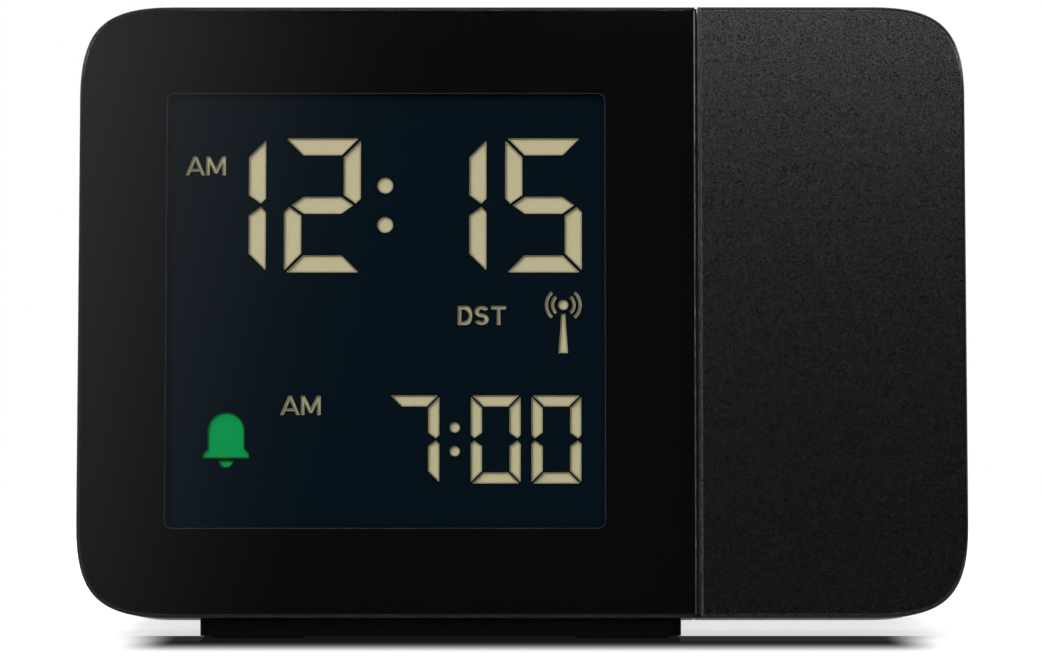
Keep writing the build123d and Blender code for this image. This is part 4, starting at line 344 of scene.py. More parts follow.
# ------------------------------------------------------------------ finishes
@dataclass(frozen=True)
class GrainedPlastic:
    """Moulded plastic with a spark-eroded grain."""

    name: str
    colour: Colour
    roughness: float = 0.5
    grain: float = 0.00028
    grain_depth: float = 0.000012
    edge: float = 0.00025
    specular: float = 0.5
    mottle: float = 0.12
    sparkle: float = 0.1
    cloud: float = 0.0008
    wear: float = 0.08

    def make(self) -> bpy.types.Material:
        """Builds the material.

        Returns:
            The material, ready for a piece.
        """
        tree = FinishTree(self.name)
        speckle = tree.noise(self.grain, 1.0)
        dull, worn = self.specular * (1.0 - self.sparkle), self.roughness * (1.0 - self.wear)
        keen, rough = self.specular * (1.0 + self.sparkle), self.roughness * (1.0 + self.wear)
        feeds = {
            "Base Color": tree.mottled(speckle, self.colour, self.mottle),
            "Roughness": tree.spread(tree.noise(self.cloud), worn, rough),
            "Specular IOR Level": tree.spread(tree.noise(self.grain * 1.2, 1.0), dull, keen),
            "Normal": tree.bump(speckle, self.grain_depth, self.edge),
        }
        return tree.surface(tree.body(feeds))


@dataclass(frozen=True)
class SmokedWindow:
    """Polished see-through acrylic, lightly smoked, with an even gloss in front."""

    name: str
    tint: Colour
    roughness: float = 0.03
    smear: float = 0.011
    edge_haze: float = 0.17
    flat_at: float = 0.995
    turned_at: float = 0.8
    index: float = 1.49

    def make(self) -> bpy.types.Material:
        """Builds the material.

        Returns:
            The material, ready for a piece.
        """
        tree = FinishTree(self.name)
        side = tree.node("NewGeometry").outputs
        normal = side["True Normal"]
        facing = tree.node("VectorMath", {0: normal, 1: FRAME.outward}, operation="DOT_PRODUCT")
        turned = tree.ease(facing.outputs["Value"], self.flat_at, self.turned_at)
        wiped = tree.spread(
            tree.noise(self.smear, 4.0), self.roughness * 0.8, self.roughness * 1.2
        )
        haze = tree.math("ADD", tree.product(turned, self.edge_haze), wiped)
        clear = tree.node("BsdfTransparent", {"Color": (*self.tint, 1.0)})
        gloss = tree.node("BsdfGlossy", {"Normal": normal, "Roughness": haze})
        mirror = tree.node("Fresnel", {"IOR": self.index, "Normal": normal}).outputs["Fac"]
        share = tree.product(mirror, tree.math("SUBTRACT", 1.0, side["Backfacing"]))
        return tree.surface(tree.mix(share, clear.outputs["BSDF"], gloss.outputs["BSDF"]))


@dataclass(frozen=True)
class ClearOptic:
    """Clear glass of a lens or a display cell, with a faint coating."""

    name: str
    colour: Colour
    roughness: float = 0.02
    haze: float = 0.015
    index: float = 1.5
    coat: float = 0.4
    coat_rough: float = 0.02

    def make(self) -> bpy.types.Material:
        """Builds the material.

        Returns:
            The material, ready for a piece.
        """
        tree = FinishTree(self.name)
        wiped = tree.noise(0.002, 4.0)
        feeds = {
            "Base Color": tree.two_tone(tree.noise(0.004), shade(self.colour, 0.94), self.colour),
            "Roughness": tree.spread(wiped, self.roughness, self.roughness + self.haze),
            "Transmission Weight": 1.0,
            "IOR": self.index,
            "Coat Weight": self.coat,
            "Coat Roughness": self.coat_rough,
        }
        return tree.surface(tree.body(feeds))


@dataclass(frozen=True)
class PrintedSheet:
    """Flat printed or filtering sheet with a fine screen in its ink."""

    name: str
    colour: Colour
    roughness: float = 0.45
    screen: float = 0.00012
    variation: float = 0.05
    specular: float = 0.3
    screen_depth: float = 0.000001
    wear: float = 0.04

    def make(self) -> bpy.types.Material:
        """Builds the material.

        Returns:
            The material, ready for a piece.
        """
        tree = FinishTree(self.name)
        dots = tree.noise(self.screen, 1.0)
        worn, rough = self.roughness - self.wear, self.roughness + self.wear
        feeds = {
            "Base Color": tree.mottled(dots, self.colour, self.variation),
            "Roughness": tree.spread(tree.noise(0.003), worn, rough),
            "Specular IOR Level": self.specular,
            "Normal": tree.bump(dots, self.screen_depth),
        }
        return tree.surface(tree.body(feeds))


@dataclass(frozen=True)
class BrushedMetal:
    """Sheet, wire or turned metal with fine drawn lines."""

    name: str
    colour: Colour
    roughness: float = 0.32
    line: float = 0.00008
    stretch: float = 12.0
    line_depth: float = 0.000004
    edge: float = 0.0001
    polished: float = 0.06
    scuffed: float = 0.08

    def make(self) -> bpy.types.Material:
        """Builds the material.

        Returns:
            The material, ready for a piece.
        """
        tree = FinishTree(self.name)
        drawn = {"Vector": tree.place, "Scale": (1.0 / self.stretch, 1.0, 1.0)}
        tree.place = tree.node("Mapping", drawn).outputs["Vector"]
        lines = tree.noise(self.line, 2.0)
        worn, rough = self.roughness - self.polished, self.roughness + self.scuffed
        feeds = {
            "Base Color": tree.two_tone(lines, shade(self.colour, 0.85), shade(self.colour, 1.1)),
            "Metallic": 1.0,
            "Roughness": tree.spread(tree.noise(0.002), worn, rough),
            "Normal": tree.bump(lines, self.line_depth, self.edge),
        }
        return tree.surface(tree.body(feeds))


@dataclass(frozen=True)
class SoftRubber:
    """Moulded rubber with a dull, dusty bloom."""

    name: str
    colour: Colour
    bloom: Colour
    roughness: float = 0.78
    sheen: float = 0.15
    dust: float = 0.0035
    pore: float = 0.0004
    pore_depth: float = 0.00002
    edge: float = 0.0002

    def make(self) -> bpy.types.Material:
        """Builds the material.

        Returns:
            The material, ready for a piece.
        """
        tree = FinishTree(self.name)
        feeds = {
            "Base Color": tree.two_tone(tree.noise(self.dust, 5.0), self.colour, self.bloom),
            "Roughness": self.roughness,
            "Sheen Weight": self.sheen,
            "Normal": tree.bump(tree.noise(self.pore, 3.0), self.pore_depth, self.edge),
        }
        return tree.surface(tree.body(feeds))


@dataclass(frozen=True)
class SolderMaskBoard:
    """Board laminate with copper runs showing faintly under green solder mask."""

    name: str
    mask: Colour = (0.012, 0.1, 0.045)
    run: Colour = (0.03, 0.19, 0.08)
    roughness: float = 0.3
    runs_per_metre: float = 240.0
    run_gap: float = 0.06
    run_height: float = 0.00003

    def make(self) -> bpy.types.Material:
        """Builds the material.

        Returns:
            The material, ready for a piece.
        """
        tree = FinishTree(self.name)
        pattern = {
            "Vector": tree.place,
            "Color1": (*self.run, 1.0),
            "Color2": (*self.mask, 1.0),
            "Mortar": (*self.mask, 1.0),
            "Scale": self.runs_per_metre,
            "Mortar Size": self.run_gap,
        }
        runs = tree.node("TexBrick", pattern, offset=0.5).outputs
        raised = tree.bump(runs["Fac"], self.run_height)
        feeds = {"Base Color": runs["Color"], "Roughness": self.roughness, "Normal": raised}
        return tree.surface(tree.body(feeds))


@dataclass(frozen=True)
class CellJacket:
    """Foil jacket of a dry cell: a coloured band round a dark body."""

    name: str
    body: Colour = (0.03, 0.035, 0.045)
    band: Colour = (0.55, 0.33, 0.09)
    span: Point = (-0.060, -0.006)
    band_gain: float = 1.3
    foil: float = 0.6
    gloss: Point = (0.25, 0.4)
    dent: float = 0.0012
    dent_depth: float = 0.00001
    edge: float = 0.0002

    def make(self) -> bpy.types.Material:
        """Builds the material.

        Returns:
            The material, ready for a piece.
        """
        tree = FinishTree(self.name)
        along = tree.ruler(tree.axes(tree.place)[0], self.span, (0.0, 1.0))
        wrap = tree.product(tree.math("PINGPONG", along, 0.5), self.band_gain)
        feeds = {
            "Base Color": tree.two_tone(wrap, self.body, self.band, (0.0, 0.5), "CONSTANT"),
            "Metallic": self.foil,
            "Roughness": tree.spread(tree.noise(0.004), *self.gloss),
            "Normal": tree.bump(tree.noise(self.dent), self.dent_depth, self.edge),
        }
        return tree.surface(tree.body(feeds))


@dataclass
class FinishShelf:
    """Every finish of the clock, made once and handed out by name."""

    made: dict[str, bpy.types.Material] = field(default_factory=dict)

    FINISHES = (
        SmokedWindow("smoked_window", (0.97, 0.97, 0.98)),
        PrintedSheet("black_print", (0.0012, 0.0012, 0.0013), 0.7, specular=0.02),
        PrintedSheet("window_line", (0.028, 0.034, 0.04), 0.6, specular=0.1),
        PrintedSheet("display_ink", (0.0003, 0.0048, 0.0093), 0.7, specular=0.02),
        # Darker copy of the display ink for the line round each sign: painted shade.
        PrintedSheet("sign_edge_shade", (0.0006, 0.0012, 0.0014), 0.8, specular=0.02),
        PrintedSheet("segment_bone", (0.552, 0.502, 0.298), 0.8, 0.0003, 0.03, 0.05),
        # Darker, greyer copy of the bone for the bevels in the signs' openings: painted shade.
        PrintedSheet("segment_edge_shade", (0.3, 0.29, 0.19), 0.8, 0.0003, 0.03, 0.05),
        PrintedSheet("bell_green", (0.0, 0.305, 0.07), 0.8, 0.0003, 0.04, 0.05),
        # Darker copy of the green for the bevels in the bell's opening: painted shade.
        PrintedSheet("bell_edge_shade", (0.0, 0.16, 0.04), 0.8, 0.0003, 0.04, 0.05),
        ClearOptic("cell_glass", (0.85, 0.92, 0.9)),
        ClearOptic("guide_acrylic", (0.93, 0.95, 0.97), 0.08),
        GrainedPlastic("white_plastic", (0.72, 0.72, 0.69), 0.45, mottle=0.03),
        GrainedPlastic(
            "case_black", (0.0026, 0.0026, 0.0027), 0.165, 0.0002, 0.000003, mottle=0.95, sparkle=0.74
        ),
        GrainedPlastic("foot_black", (0.0014, 0.0014, 0.0014), 0.65, specular=0.06, mottle=0.3),
        GrainedPlastic("key_black", (0.019, 0.019, 0.021), 0.36, 0.0002, 0.000006, mottle=0.12),
        GrainedPlastic("ring_black", (0.013, 0.013, 0.015), 0.3, 0.0002, 0.000005, mottle=0.1),
        SolderMaskBoard("board_green"),
        GrainedPlastic("chip_black", (0.014, 0.014, 0.016), 0.5, 0.00015, 0.000006),
        GrainedPlastic("connector_white", (0.75, 0.72, 0.63), 0.4, mottle=0.04),
        SoftRubber("zebra_rubber", (0.11, 0.11, 0.12), (0.2, 0.2, 0.21)),
        BrushedMetal("tin", (0.62, 0.62, 0.6), 0.3),
        BrushedMetal("screw_steel", (0.16, 0.16, 0.17), 0.34, stretch=2.0),
        CellJacket("cell_jacket"),
        GrainedPlastic("ferrite", (0.02, 0.02, 0.022), 0.62, 0.0004, 0.00003),
        BrushedMetal("copper_wire", (0.72, 0.3, 0.12), 0.35, 0.0003, 0.02),
        SoftRubber("pad_rubber", (0.012, 0.012, 0.012), (0.03, 0.03, 0.029)),
        GrainedPlastic("bush_nylon", (0.62, 0.6, 0.52), 0.4, mottle=0.04),
        BrushedMetal("clip_steel", (0.5, 0.5, 0.5), 0.28),
        ClearOptic("optic_glass", (0.86, 0.92, 1.0), 0.01),
        PrintedSheet("slide_film", (0.02, 0.012, 0.012), 0.25),
        ClearOptic("led_red", (0.8, 0.06, 0.04), 0.05),
        SoftRubber("lead_black", (0.012, 0.012, 0.012), (0.02, 0.02, 0.02)),
        # Light strips beside the seam: painted highlights on the rounded front edges, one brighter
        # and one dimmer.
        BrushedMetal("seam_highlight_bright", (0.17, 0.17, 0.175), 0.15, 0.00014, 1.0),
        BrushedMetal("seam_highlight_dim", (0.09, 0.09, 0.092), 0.15, 0.00014, 1.0),
        # Near-black felt for the band in the seam: painted shade for the gap.
        SoftRubber("seam_shade_felt", (0.0012, 0.0012, 0.0012), (0.003, 0.003, 0.003)),
        PrintedSheet("mark_white", (0.58, 0.58, 0.56), 0.55, 0.0002, 0.04),
    )

    def stock(self) -> None:
        """Makes every finish."""
        for finish in self.FINISHES:
            self.made[finish.name] = finish.make()
            log.info("finish %s", finish.name)

    def dress(self, piece: bpy.types.Object, finish: str) -> None:
        """Gives a piece one finish all over."""
        piece.data.materials.clear()
        piece.data.materials.append(self.made[finish])

    def add(self, name: str, mesh: bpy.types.Mesh, body: str, slot: str, finish: str) -> None:
        """Adds a piece to the clock.

        Args:
            name: The piece's name.
            mesh: Its mesh, in world places.
            body: Body that it moves with.
            slot: Material slot of the record that it stands for; not used.
            finish: Name of its finish.
        """
        piece = bring_in(name, mesh)
        self.dress(piece, finish)
        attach(piece, body)
        log.info("piece %s", name)


# ------------------------------------------------------------------ printed marks
@dataclass(frozen=True)
class MarkSheet:
    """A flat place on the clock's back that takes printed marks."""

    shelf: FinishShelf
    depth: float
    body: str = "clock"
    slot: str = "white_plastic"
    finish: str = "mark_white"
    ink_thick: float = 0.03

    def ink(self, name: str, drawing: bpy.types.Curve, x: float, z: float) -> None:
        """Turns a drawing into a thin printed piece at its place.

        Args:
            name: Name of the piece.
            drawing: Flat curve or text, in millimetres.
            x: Middle of the mark to the user's right, in millimetres.
            z: Middle of the mark up the face, in millimetres.
        """
        drawing.extrude = self.ink_thick / 2
        drawing.dimensions = "2D"
        drawing.fill_mode = "BOTH"
        holder = bring_in(name + "_drawing", drawing)
        bpy.context.view_layer.update()
        ready = holder.evaluated_get(bpy.context.evaluated_depsgraph_get())
        mesh = bpy.data.meshes.new_from_object(ready)
        bpy.data.objects.remove(holder)
        mesh.transform(FRAME.back_sheet(x, self.depth, z) @ Matrix.Scale(MM, 4))
        self.shelf.add(name, mesh, self.body, self.slot, self.finish)


@dataclass
class MarkPen:
    """Draws a small sign as flat outlines of one curve, in millimetres."""

    curve: bpy.types.Curve
    stroke: float = 0.3
    steps: int = 24

    def outline(self, points: Sequence[Point]) -> None:
        """Adds one closed outline.

        Args:
            points: Corners in order.
        """
        spline = self.curve.splines.new("POLY")
        spline.points.add(len(points) - 1)
        for slot, (x, y) in zip(spline.points, points):
            slot.co = (x, y, 0.0, 1.0)
        spline.use_cyclic_u = True

    def arc(self, middle: Point, radius: float, start: float, end: float) -> list[Point]:
        """Points of an arc.

        Args:
            middle: Its centre.
            radius: Its radius.
            start: First angle in degrees.
            end: Last angle in degrees.

        Returns:
            The points from start to end.
        """
        turn = (end - start) / self.steps
        angles = [math.radians(start + turn * step) for step in range(self.steps + 1)]
        return [
            (middle[0] + radius * math.cos(a), middle[1] + radius * math.sin(a)) for a in angles
        ]

    def band(self, middle: Point, radius: float, start: float, end: float) -> None:
        """Adds an arc of one stroke's width.

        Args:
            middle: Centre of the arc.
            radius: Radius of its middle line.
            start: First angle in degrees.
            end: Last angle in degrees.
        """
        outer = self.arc(middle, radius + self.stroke / 2, start, end)
        inner = self.arc(middle, radius - self.stroke / 2, end, start)
        self.outline(outer + inner)

    def ring(self, middle: Point, radius: float) -> None:
        """Adds a full ring, as two half bands."""
        self.band(middle, radius, 0, 180)
        self.band(middle, radius, 180, 360)

    def disc(self, middle: Point, radius: float) -> None:
        """Adds a filled disc."""
        self.outline(self.arc(middle, radius, 0, 360)[:-1])

    def bar(self, start: Point, end: Point) -> None:
        """Adds a straight stroke.

        Args:
            start: One end.
            end: Other end.
        """
        first, last = Vector(start), Vector(end)
        run = last - first
        side = Vector((-run.y, run.x)).normalized() * self.stroke / 2
        corners = [first - side, last - side, last + side, first + side]
        self.outline([(p.x, p.y) for p in corners])

    def tip(self, point: Point, angle: float, size: float) -> None:
        """Adds an arrow tip.

        Args:
            point: The tip's point.
            angle: The way it points, in degrees.
            size: Its length.
        """
        way = math.radians(angle)
        ahead = Vector((math.cos(way), math.sin(way)))
        side = Vector((-ahead.y, ahead.x))
        base = Vector(point) - ahead * size
        corners = [Vector(point), base + side * size * 0.55, base - side * size * 0.55]
        self.outline([(p.x, p.y) for p in corners])


class KeySign(Enum):
    """Sign printed over a set button, with the button's name."""

    CLOCK = "time_set"
    BELL = "alarm_set"
    PLUS = "plus"
    MINUS = "minus"
    WAVE = "wave"
    FLIP = "flip"


@dataclass
class SignBook:
    """The clock's small signs, one method each."""

    size: float = 1.15

    def draw(self, sign: str) -> bpy.types.Curve:
        """Draws one sign, centred on its origin.

        Args:
            sign: Name of its method.

        Returns:
            The drawing.
        """
        pen = MarkPen(bpy.data.curves.new(sign + "_sign", "CURVE"))
        getattr(self, sign)(pen)
        return pen.curve

    def clock(self, pen: MarkPen) -> None:
        """Round dial with two hands.

        Args:
            pen: The pen that draws it.
        """
        pen.ring((0, 0), self.size)
        pen.bar((0, -0.1), (0, self.size * 0.62))
        pen.bar((0.16, 0), (self.size * 0.5, 0))

    def bell(self, pen: MarkPen) -> None:
        """Bell with its clapper."""
        pen.outline([(-1.1, -0.75), *pen.arc((0, 0.2), 0.75, 180, 0), (1.1, -0.75)])
        pen.disc((0, -1.02), 0.2)

    def plus(self, pen: MarkPen) -> None:
        """Plus.

        Args:
            pen: The pen that draws it.
        """
        half, thin = self.size * 0.75, pen.stroke * 0.65
        quarter = [(-thin, half), (-thin, thin), (-half, thin)]
        points = []
        for _ in range(4):
            points += quarter
            quarter = [(-y, x) for x, y in quarter]
        pen.outline(points)

    def minus(self, pen: MarkPen) -> None:
        """Minus."""
        half, thin = self.size * 0.75, pen.stroke * 0.65
        pen.outline([(-half, thin), (-half, -thin), (half, -thin), (half, thin)])

    def wave(self, pen: MarkPen) -> None:
        """Radio mast with its waves.

        Args:
            pen: The pen that draws it.
        """
        pen.disc((0, 0.5), 0.28)
        for radius in (0.7, 1.15):
            pen.band((0, 0.5), radius, -50, 50)
            pen.band((0, 0.5), radius, 130, 230)
        pen.outline([(-0.12, 0.1), (-0.35, -1.2), (0.35, -1.2), (0.12, 0.1)])

    def flip(self, pen: MarkPen) -> None:
        """Two arrows that chase each other round.

        Args:
            pen: The pen that draws it.
        """
        radius = self.size * 0.8
        for start in (20, 200):
            pen.band((0, 0), radius, start, start + 120)
            way = math.radians(start + 138)
            pen.tip((radius * math.cos(way), radius * math.sin(way)), start + 222, 0.6)

    def beam(self, pen: MarkPen) -> None:
        """Lamp that throws a widening beam."""
        pen.outline([(-1.3, 0.4), (-1.3, -0.4), (-0.5, -0.4), (-0.5, 0.4)])
        for near, far in ((0.25, (1.1, 0.85)), (0.0, (1.25, 0.0)), (-0.25, (1.1, -0.85))):
            pen.bar((-0.25, near), far)

    def polarity(self, pen: MarkPen) -> None:
        """Round plug with its middle pin marked plus.

        Args:
            pen: The pen that draws it.
        """
        pen.disc((0, 0), 0.32)
        pen.band((0, 0), 0.85, 30, 330)
        for side in (-3.2, 3.2):
            pen.ring((side, 0), 0.75)
            pen.bar((side - 0.4, 0), (side + 0.4, 0))
        pen.bar((3.2, 0.16), (3.2, 0.4))
        pen.bar((3.2, -0.16), (3.2, -0.4))
        pen.bar((-2.4, 0), (-1.05, 0))
        pen.bar((0.4, 0), (2.4, 0))

    def word(self, text: str, height: float) -> bpy.types.Curve:
        """Small plain word, centred.

        Args:
            text: The word.
            height: Letter height in millimetres.

        Returns:
            The text drawing.
        """
        label = bpy.data.curves.new(text.lower() + "_word", "FONT")
        label.body = text
        label.size = height * 1.4
        label.align_x = "CENTER"
        label.align_y = "CENTER"
        return label


# ------------------------------------------------------------------ mesh helpers
def solid_mesh(
    name: str, corners: Iterable[Vector], faces: Iterable[Sequence[int]]
) -> bpy.types.Mesh:
    """Makes a mesh from its corners and faces.

    Args:
        name: Name of the mesh.
        corners: World places of its corners, in metres.
        faces: Corner numbers of each face.

    Returns:
        The new mesh.
    """
    mesh = bpy.data.meshes.new(name)
    mesh.from_pydata([tuple(c) for c in corners], [], [tuple(f) for f in faces])
    mesh.validate()
    mesh.update()
    return mesh


def closed_band(loops: Sequence[Sequence[Vector]]) -> tuple[list[Vector], list[Face]]:
    """Joins equal loops into one ring-shaped solid.

    Args:
        loops: Loops of as many points each, in order round the section.

    Returns:
        The corners and the faces, ready for a mesh.
    """
    count = len(loops[0])
    corners = [point for loop in loops for point in loop]
    faces = []
    for row in range(len(loops)):
        here, below = row * count, (row + 1) % len(loops) * count
        for step in range(count):
            ahead = (step + 1) % count
            faces.append((here + step, here + ahead, below + ahead, below + step))
    return corners, faces


def face_loops(*rows: tuple[Sequence[Point], float]) -> list[list[Vector]]:
    """World loops of outlines that each lie at a depth behind the clock's face."""
    return [[FRAME.place(x, depth, z) for x, z in loop] for loop, depth in rows]


def rounded_loop(width: float, height: float, corner: float, steps: int = 6) -> list[Point]:
    """Points of a rectangle with round corners, centred.

    Args:
        width: Full width.
        height: Full height.
        corner: Corner radius.
        steps: Points per corner less one.

    Returns:
        The points, anticlockwise.
    """
    points = []
    for quarter, (sx, sy) in enumerate(((1, 1), (-1, 1), (-1, -1), (1, -1))):
        x, y = sx * (width / 2 - corner), sy * (height / 2 - corner)
        for step in range(steps + 1):
            angle = math.radians(90 * (quarter + step / steps))
            points.append((x + corner * math.cos(angle), y + corner * math.sin(angle)))
    return points


def flat_outline(names: Sequence[str], axis: int, value: float, reach: float = 0.05) -> list[Point]:
    """Outline of the corners that some pieces have in one plane of the clock.

    Args:
        names: The pieces' nodes.
        axis: Clock axis that the plane is square to.
        value: The plane's place along that axis, in millimetres.
        reach: How far from the plane a corner may lie, in millimetres.

    Returns:
        Points along the other two axes, in order round the outline.
    """
    first, second = (way for way in range(3) if way != axis)
    sheet = bmesh.new()
    for name in names:
        for place in FRAME.corners_of(name):
            if abs(place[axis] - value) < reach:
                sheet.verts.new((place[first], place[second], 0.0))
    bmesh.ops.remove_doubles(sheet, verts=sheet.verts, dist=0.01)
    hull = bmesh.ops.convex_hull(sheet, input=sheet.verts)["geom"]
    rim = [item.co.copy() for item in hull if isinstance(item, bmesh.types.BMVert)]
    sheet.free()
    middle = sum(rim, Vector((0.0, 0.0, 0.0))) / len(rim)
    rim.sort(key=lambda place: math.atan2(place.y - middle.y, place.x - middle.x))
    return [(place.x, place.y) for place in rim]


def stepped_loop(rim: Sequence[Point], step: float) -> list[Point]:
    """Same outline with more points along its straight parts.

    Args:
        rim: The outline's points.
        step: Longest way between two points.

    Returns:
        The points, in the same order.
    """
    loop = []
    for place, point in enumerate(rim):
        start, end = Vector(rim[place - 1]), Vector(point)
        count = max(1, math.ceil((end - start).length / step))
        loop += [tuple(start.lerp(end, turn / count)) for turn in range(1, count + 1)]
    return loop


def inset_loop(rim: Sequence[Point], inset: float, sharpest: float = 1.6) -> list[Point]:
    """Loop that keeps a distance inside an anticlockwise outline.

    Args:
        rim: The outline's points.
        inset: Distance inwards.
        sharpest: Longest mitre at a corner, as a multiple of the distance.

    Returns:
        As many points, inside the outline.
    """
    loop = []
    for place, point in enumerate(rim):
        here = Vector(point)
        before = (here - Vector(rim[place - 1])).normalized()
        after = (Vector(rim[(place + 1) % len(rim)]) - here).normalized()
        inward = Vector((-(before.y + after.y), before.x + after.x)).normalized()
        share = max(1.0 / sharpest, inward.dot(Vector((-before.y, before.x))))
        loop.append(tuple(here + inward * inset / share))
    return loop


@dataclass(frozen=True)
class OpeningRim:
    """One stretch of an opening's front edge, with its film side."""

    start: int
    end: int
    film_side: Vector


@dataclass
class OpeningTrim:
    """Follows the openings of the display film with thin mitred strips."""

    film_front: float = 3.0
    film_back: float = 3.35
    tolerance: float = 0.02
    sharpest: float = 2.2

    def in_front(self, place: Vector) -> bool:
        """Whether a place lies in the film's front."""
        return abs(place.y - self.film_front) < self.tolerance

    def rims(self, film: bpy.types.Object, inside: float) -> tuple[list[Vector], list[OpeningRim]]:
        """Finds the front edges of every opening.

        Args:
            film: The display film.
            inside: Half of the film's width less a margin, to leave out its own border.

        Returns:
            The film's corners in clock coordinates and the stretches of edge.
        """
        solid = bmesh.new()
        solid.from_mesh(film.data)
        solid.transform(film.matrix_world)
        bmesh.ops.remove_doubles(solid, verts=solid.verts, dist=MM / 500)
        solid.verts.index_update()
        places = [FRAME.locate(corner.co) for corner in solid.verts]
        middle = (max(place.x for place in places) + min(place.x for place in places)) / 2
        found = []
        for edge in solid.edges:
            first, last = (places[corner.index] for corner in edge.verts)
            outside = abs(first.x - middle) > inside and abs(last.x - middle) > inside
            fronts = [
                face
                for face in edge.link_faces
                if all(self.in_front(places[corner.index]) for corner in face.verts)
            ]
            if outside or len(fronts) != 1 or len(edge.link_faces) != 2:
                continue
            run = (last - first).normalized()
            side = Vector((-run.z, 0.0, run.x))
            across = FRAME.locate(fronts[0].calc_center_median()) - first
            if across.dot(side) < 0:
                side = -side
            found.append(OpeningRim(edge.verts[0].index, edge.verts[1].index, side))
        solid.free()
        return places, found

    def strips(
        self, places: Sequence[Vector], rims: Sequence[OpeningRim], section: Sequence[Point]
    ) -> tuple[list[Vector], list[Face]]:
        """Sweeps a section along the edges.

        Args:
            places: Corners in clock coordinates.
            rims: The stretches of edge to follow.
            section: Pairs of reach towards the film and depth behind the face.

        Returns:
            World corners and faces, ready for a mesh.
        """
        sides: dict[int, list[Vector]] = {}
        for rim in rims:
            sides.setdefault(rim.start, []).append(rim.film_side)
            sides.setdefault(rim.end, []).append(rim.film_side)
        corners: list[Vector] = []
        rows: dict[int, int] = {}
        for corner, leans in sides.items():
            mitre = sum(leans, Vector()).normalized()
            reach = min(self.sharpest, 1.0 / max(0.1, mitre.dot(leans[0])))
            rows[corner] = len(corners)
            for across, depth in section:
                spot = places[corner] + mitre * reach * across
                corners.append(FRAME.place(spot.x, depth, spot.z))
        faces = []
        for rim in rims:
            first, last = rows[rim.start], rows[rim.end]
            for step in range(len(section) - 1):
                faces.append((first + step, last + step, last + step + 1, first + step + 1))
        return corners, faces


# ------------------------------------------------------------------ sub-assemblies
@dataclass
class SubAssembly:
    """A part of the clock: the finishes of its CAD pieces, and what is added to them."""

    shelf: FinishShelf
    nodes: ClassVar[dict[str, str]] = {}

    def dress(self, loaded: dict[str, bpy.types.Object]) -> None:
        """Gives the CAD pieces their finishes and adds the rest.

        Args:
            loaded: The model's pieces by name.
        """
        for node, finish in self.nodes.items():
            self.shelf.dress(loaded[node], finish)
        self.build()
        log.info("%s dressed", type(self).__name__)

    def build(self) -> None:
        """Adds nothing, since most parts need no piece beyond their own."""


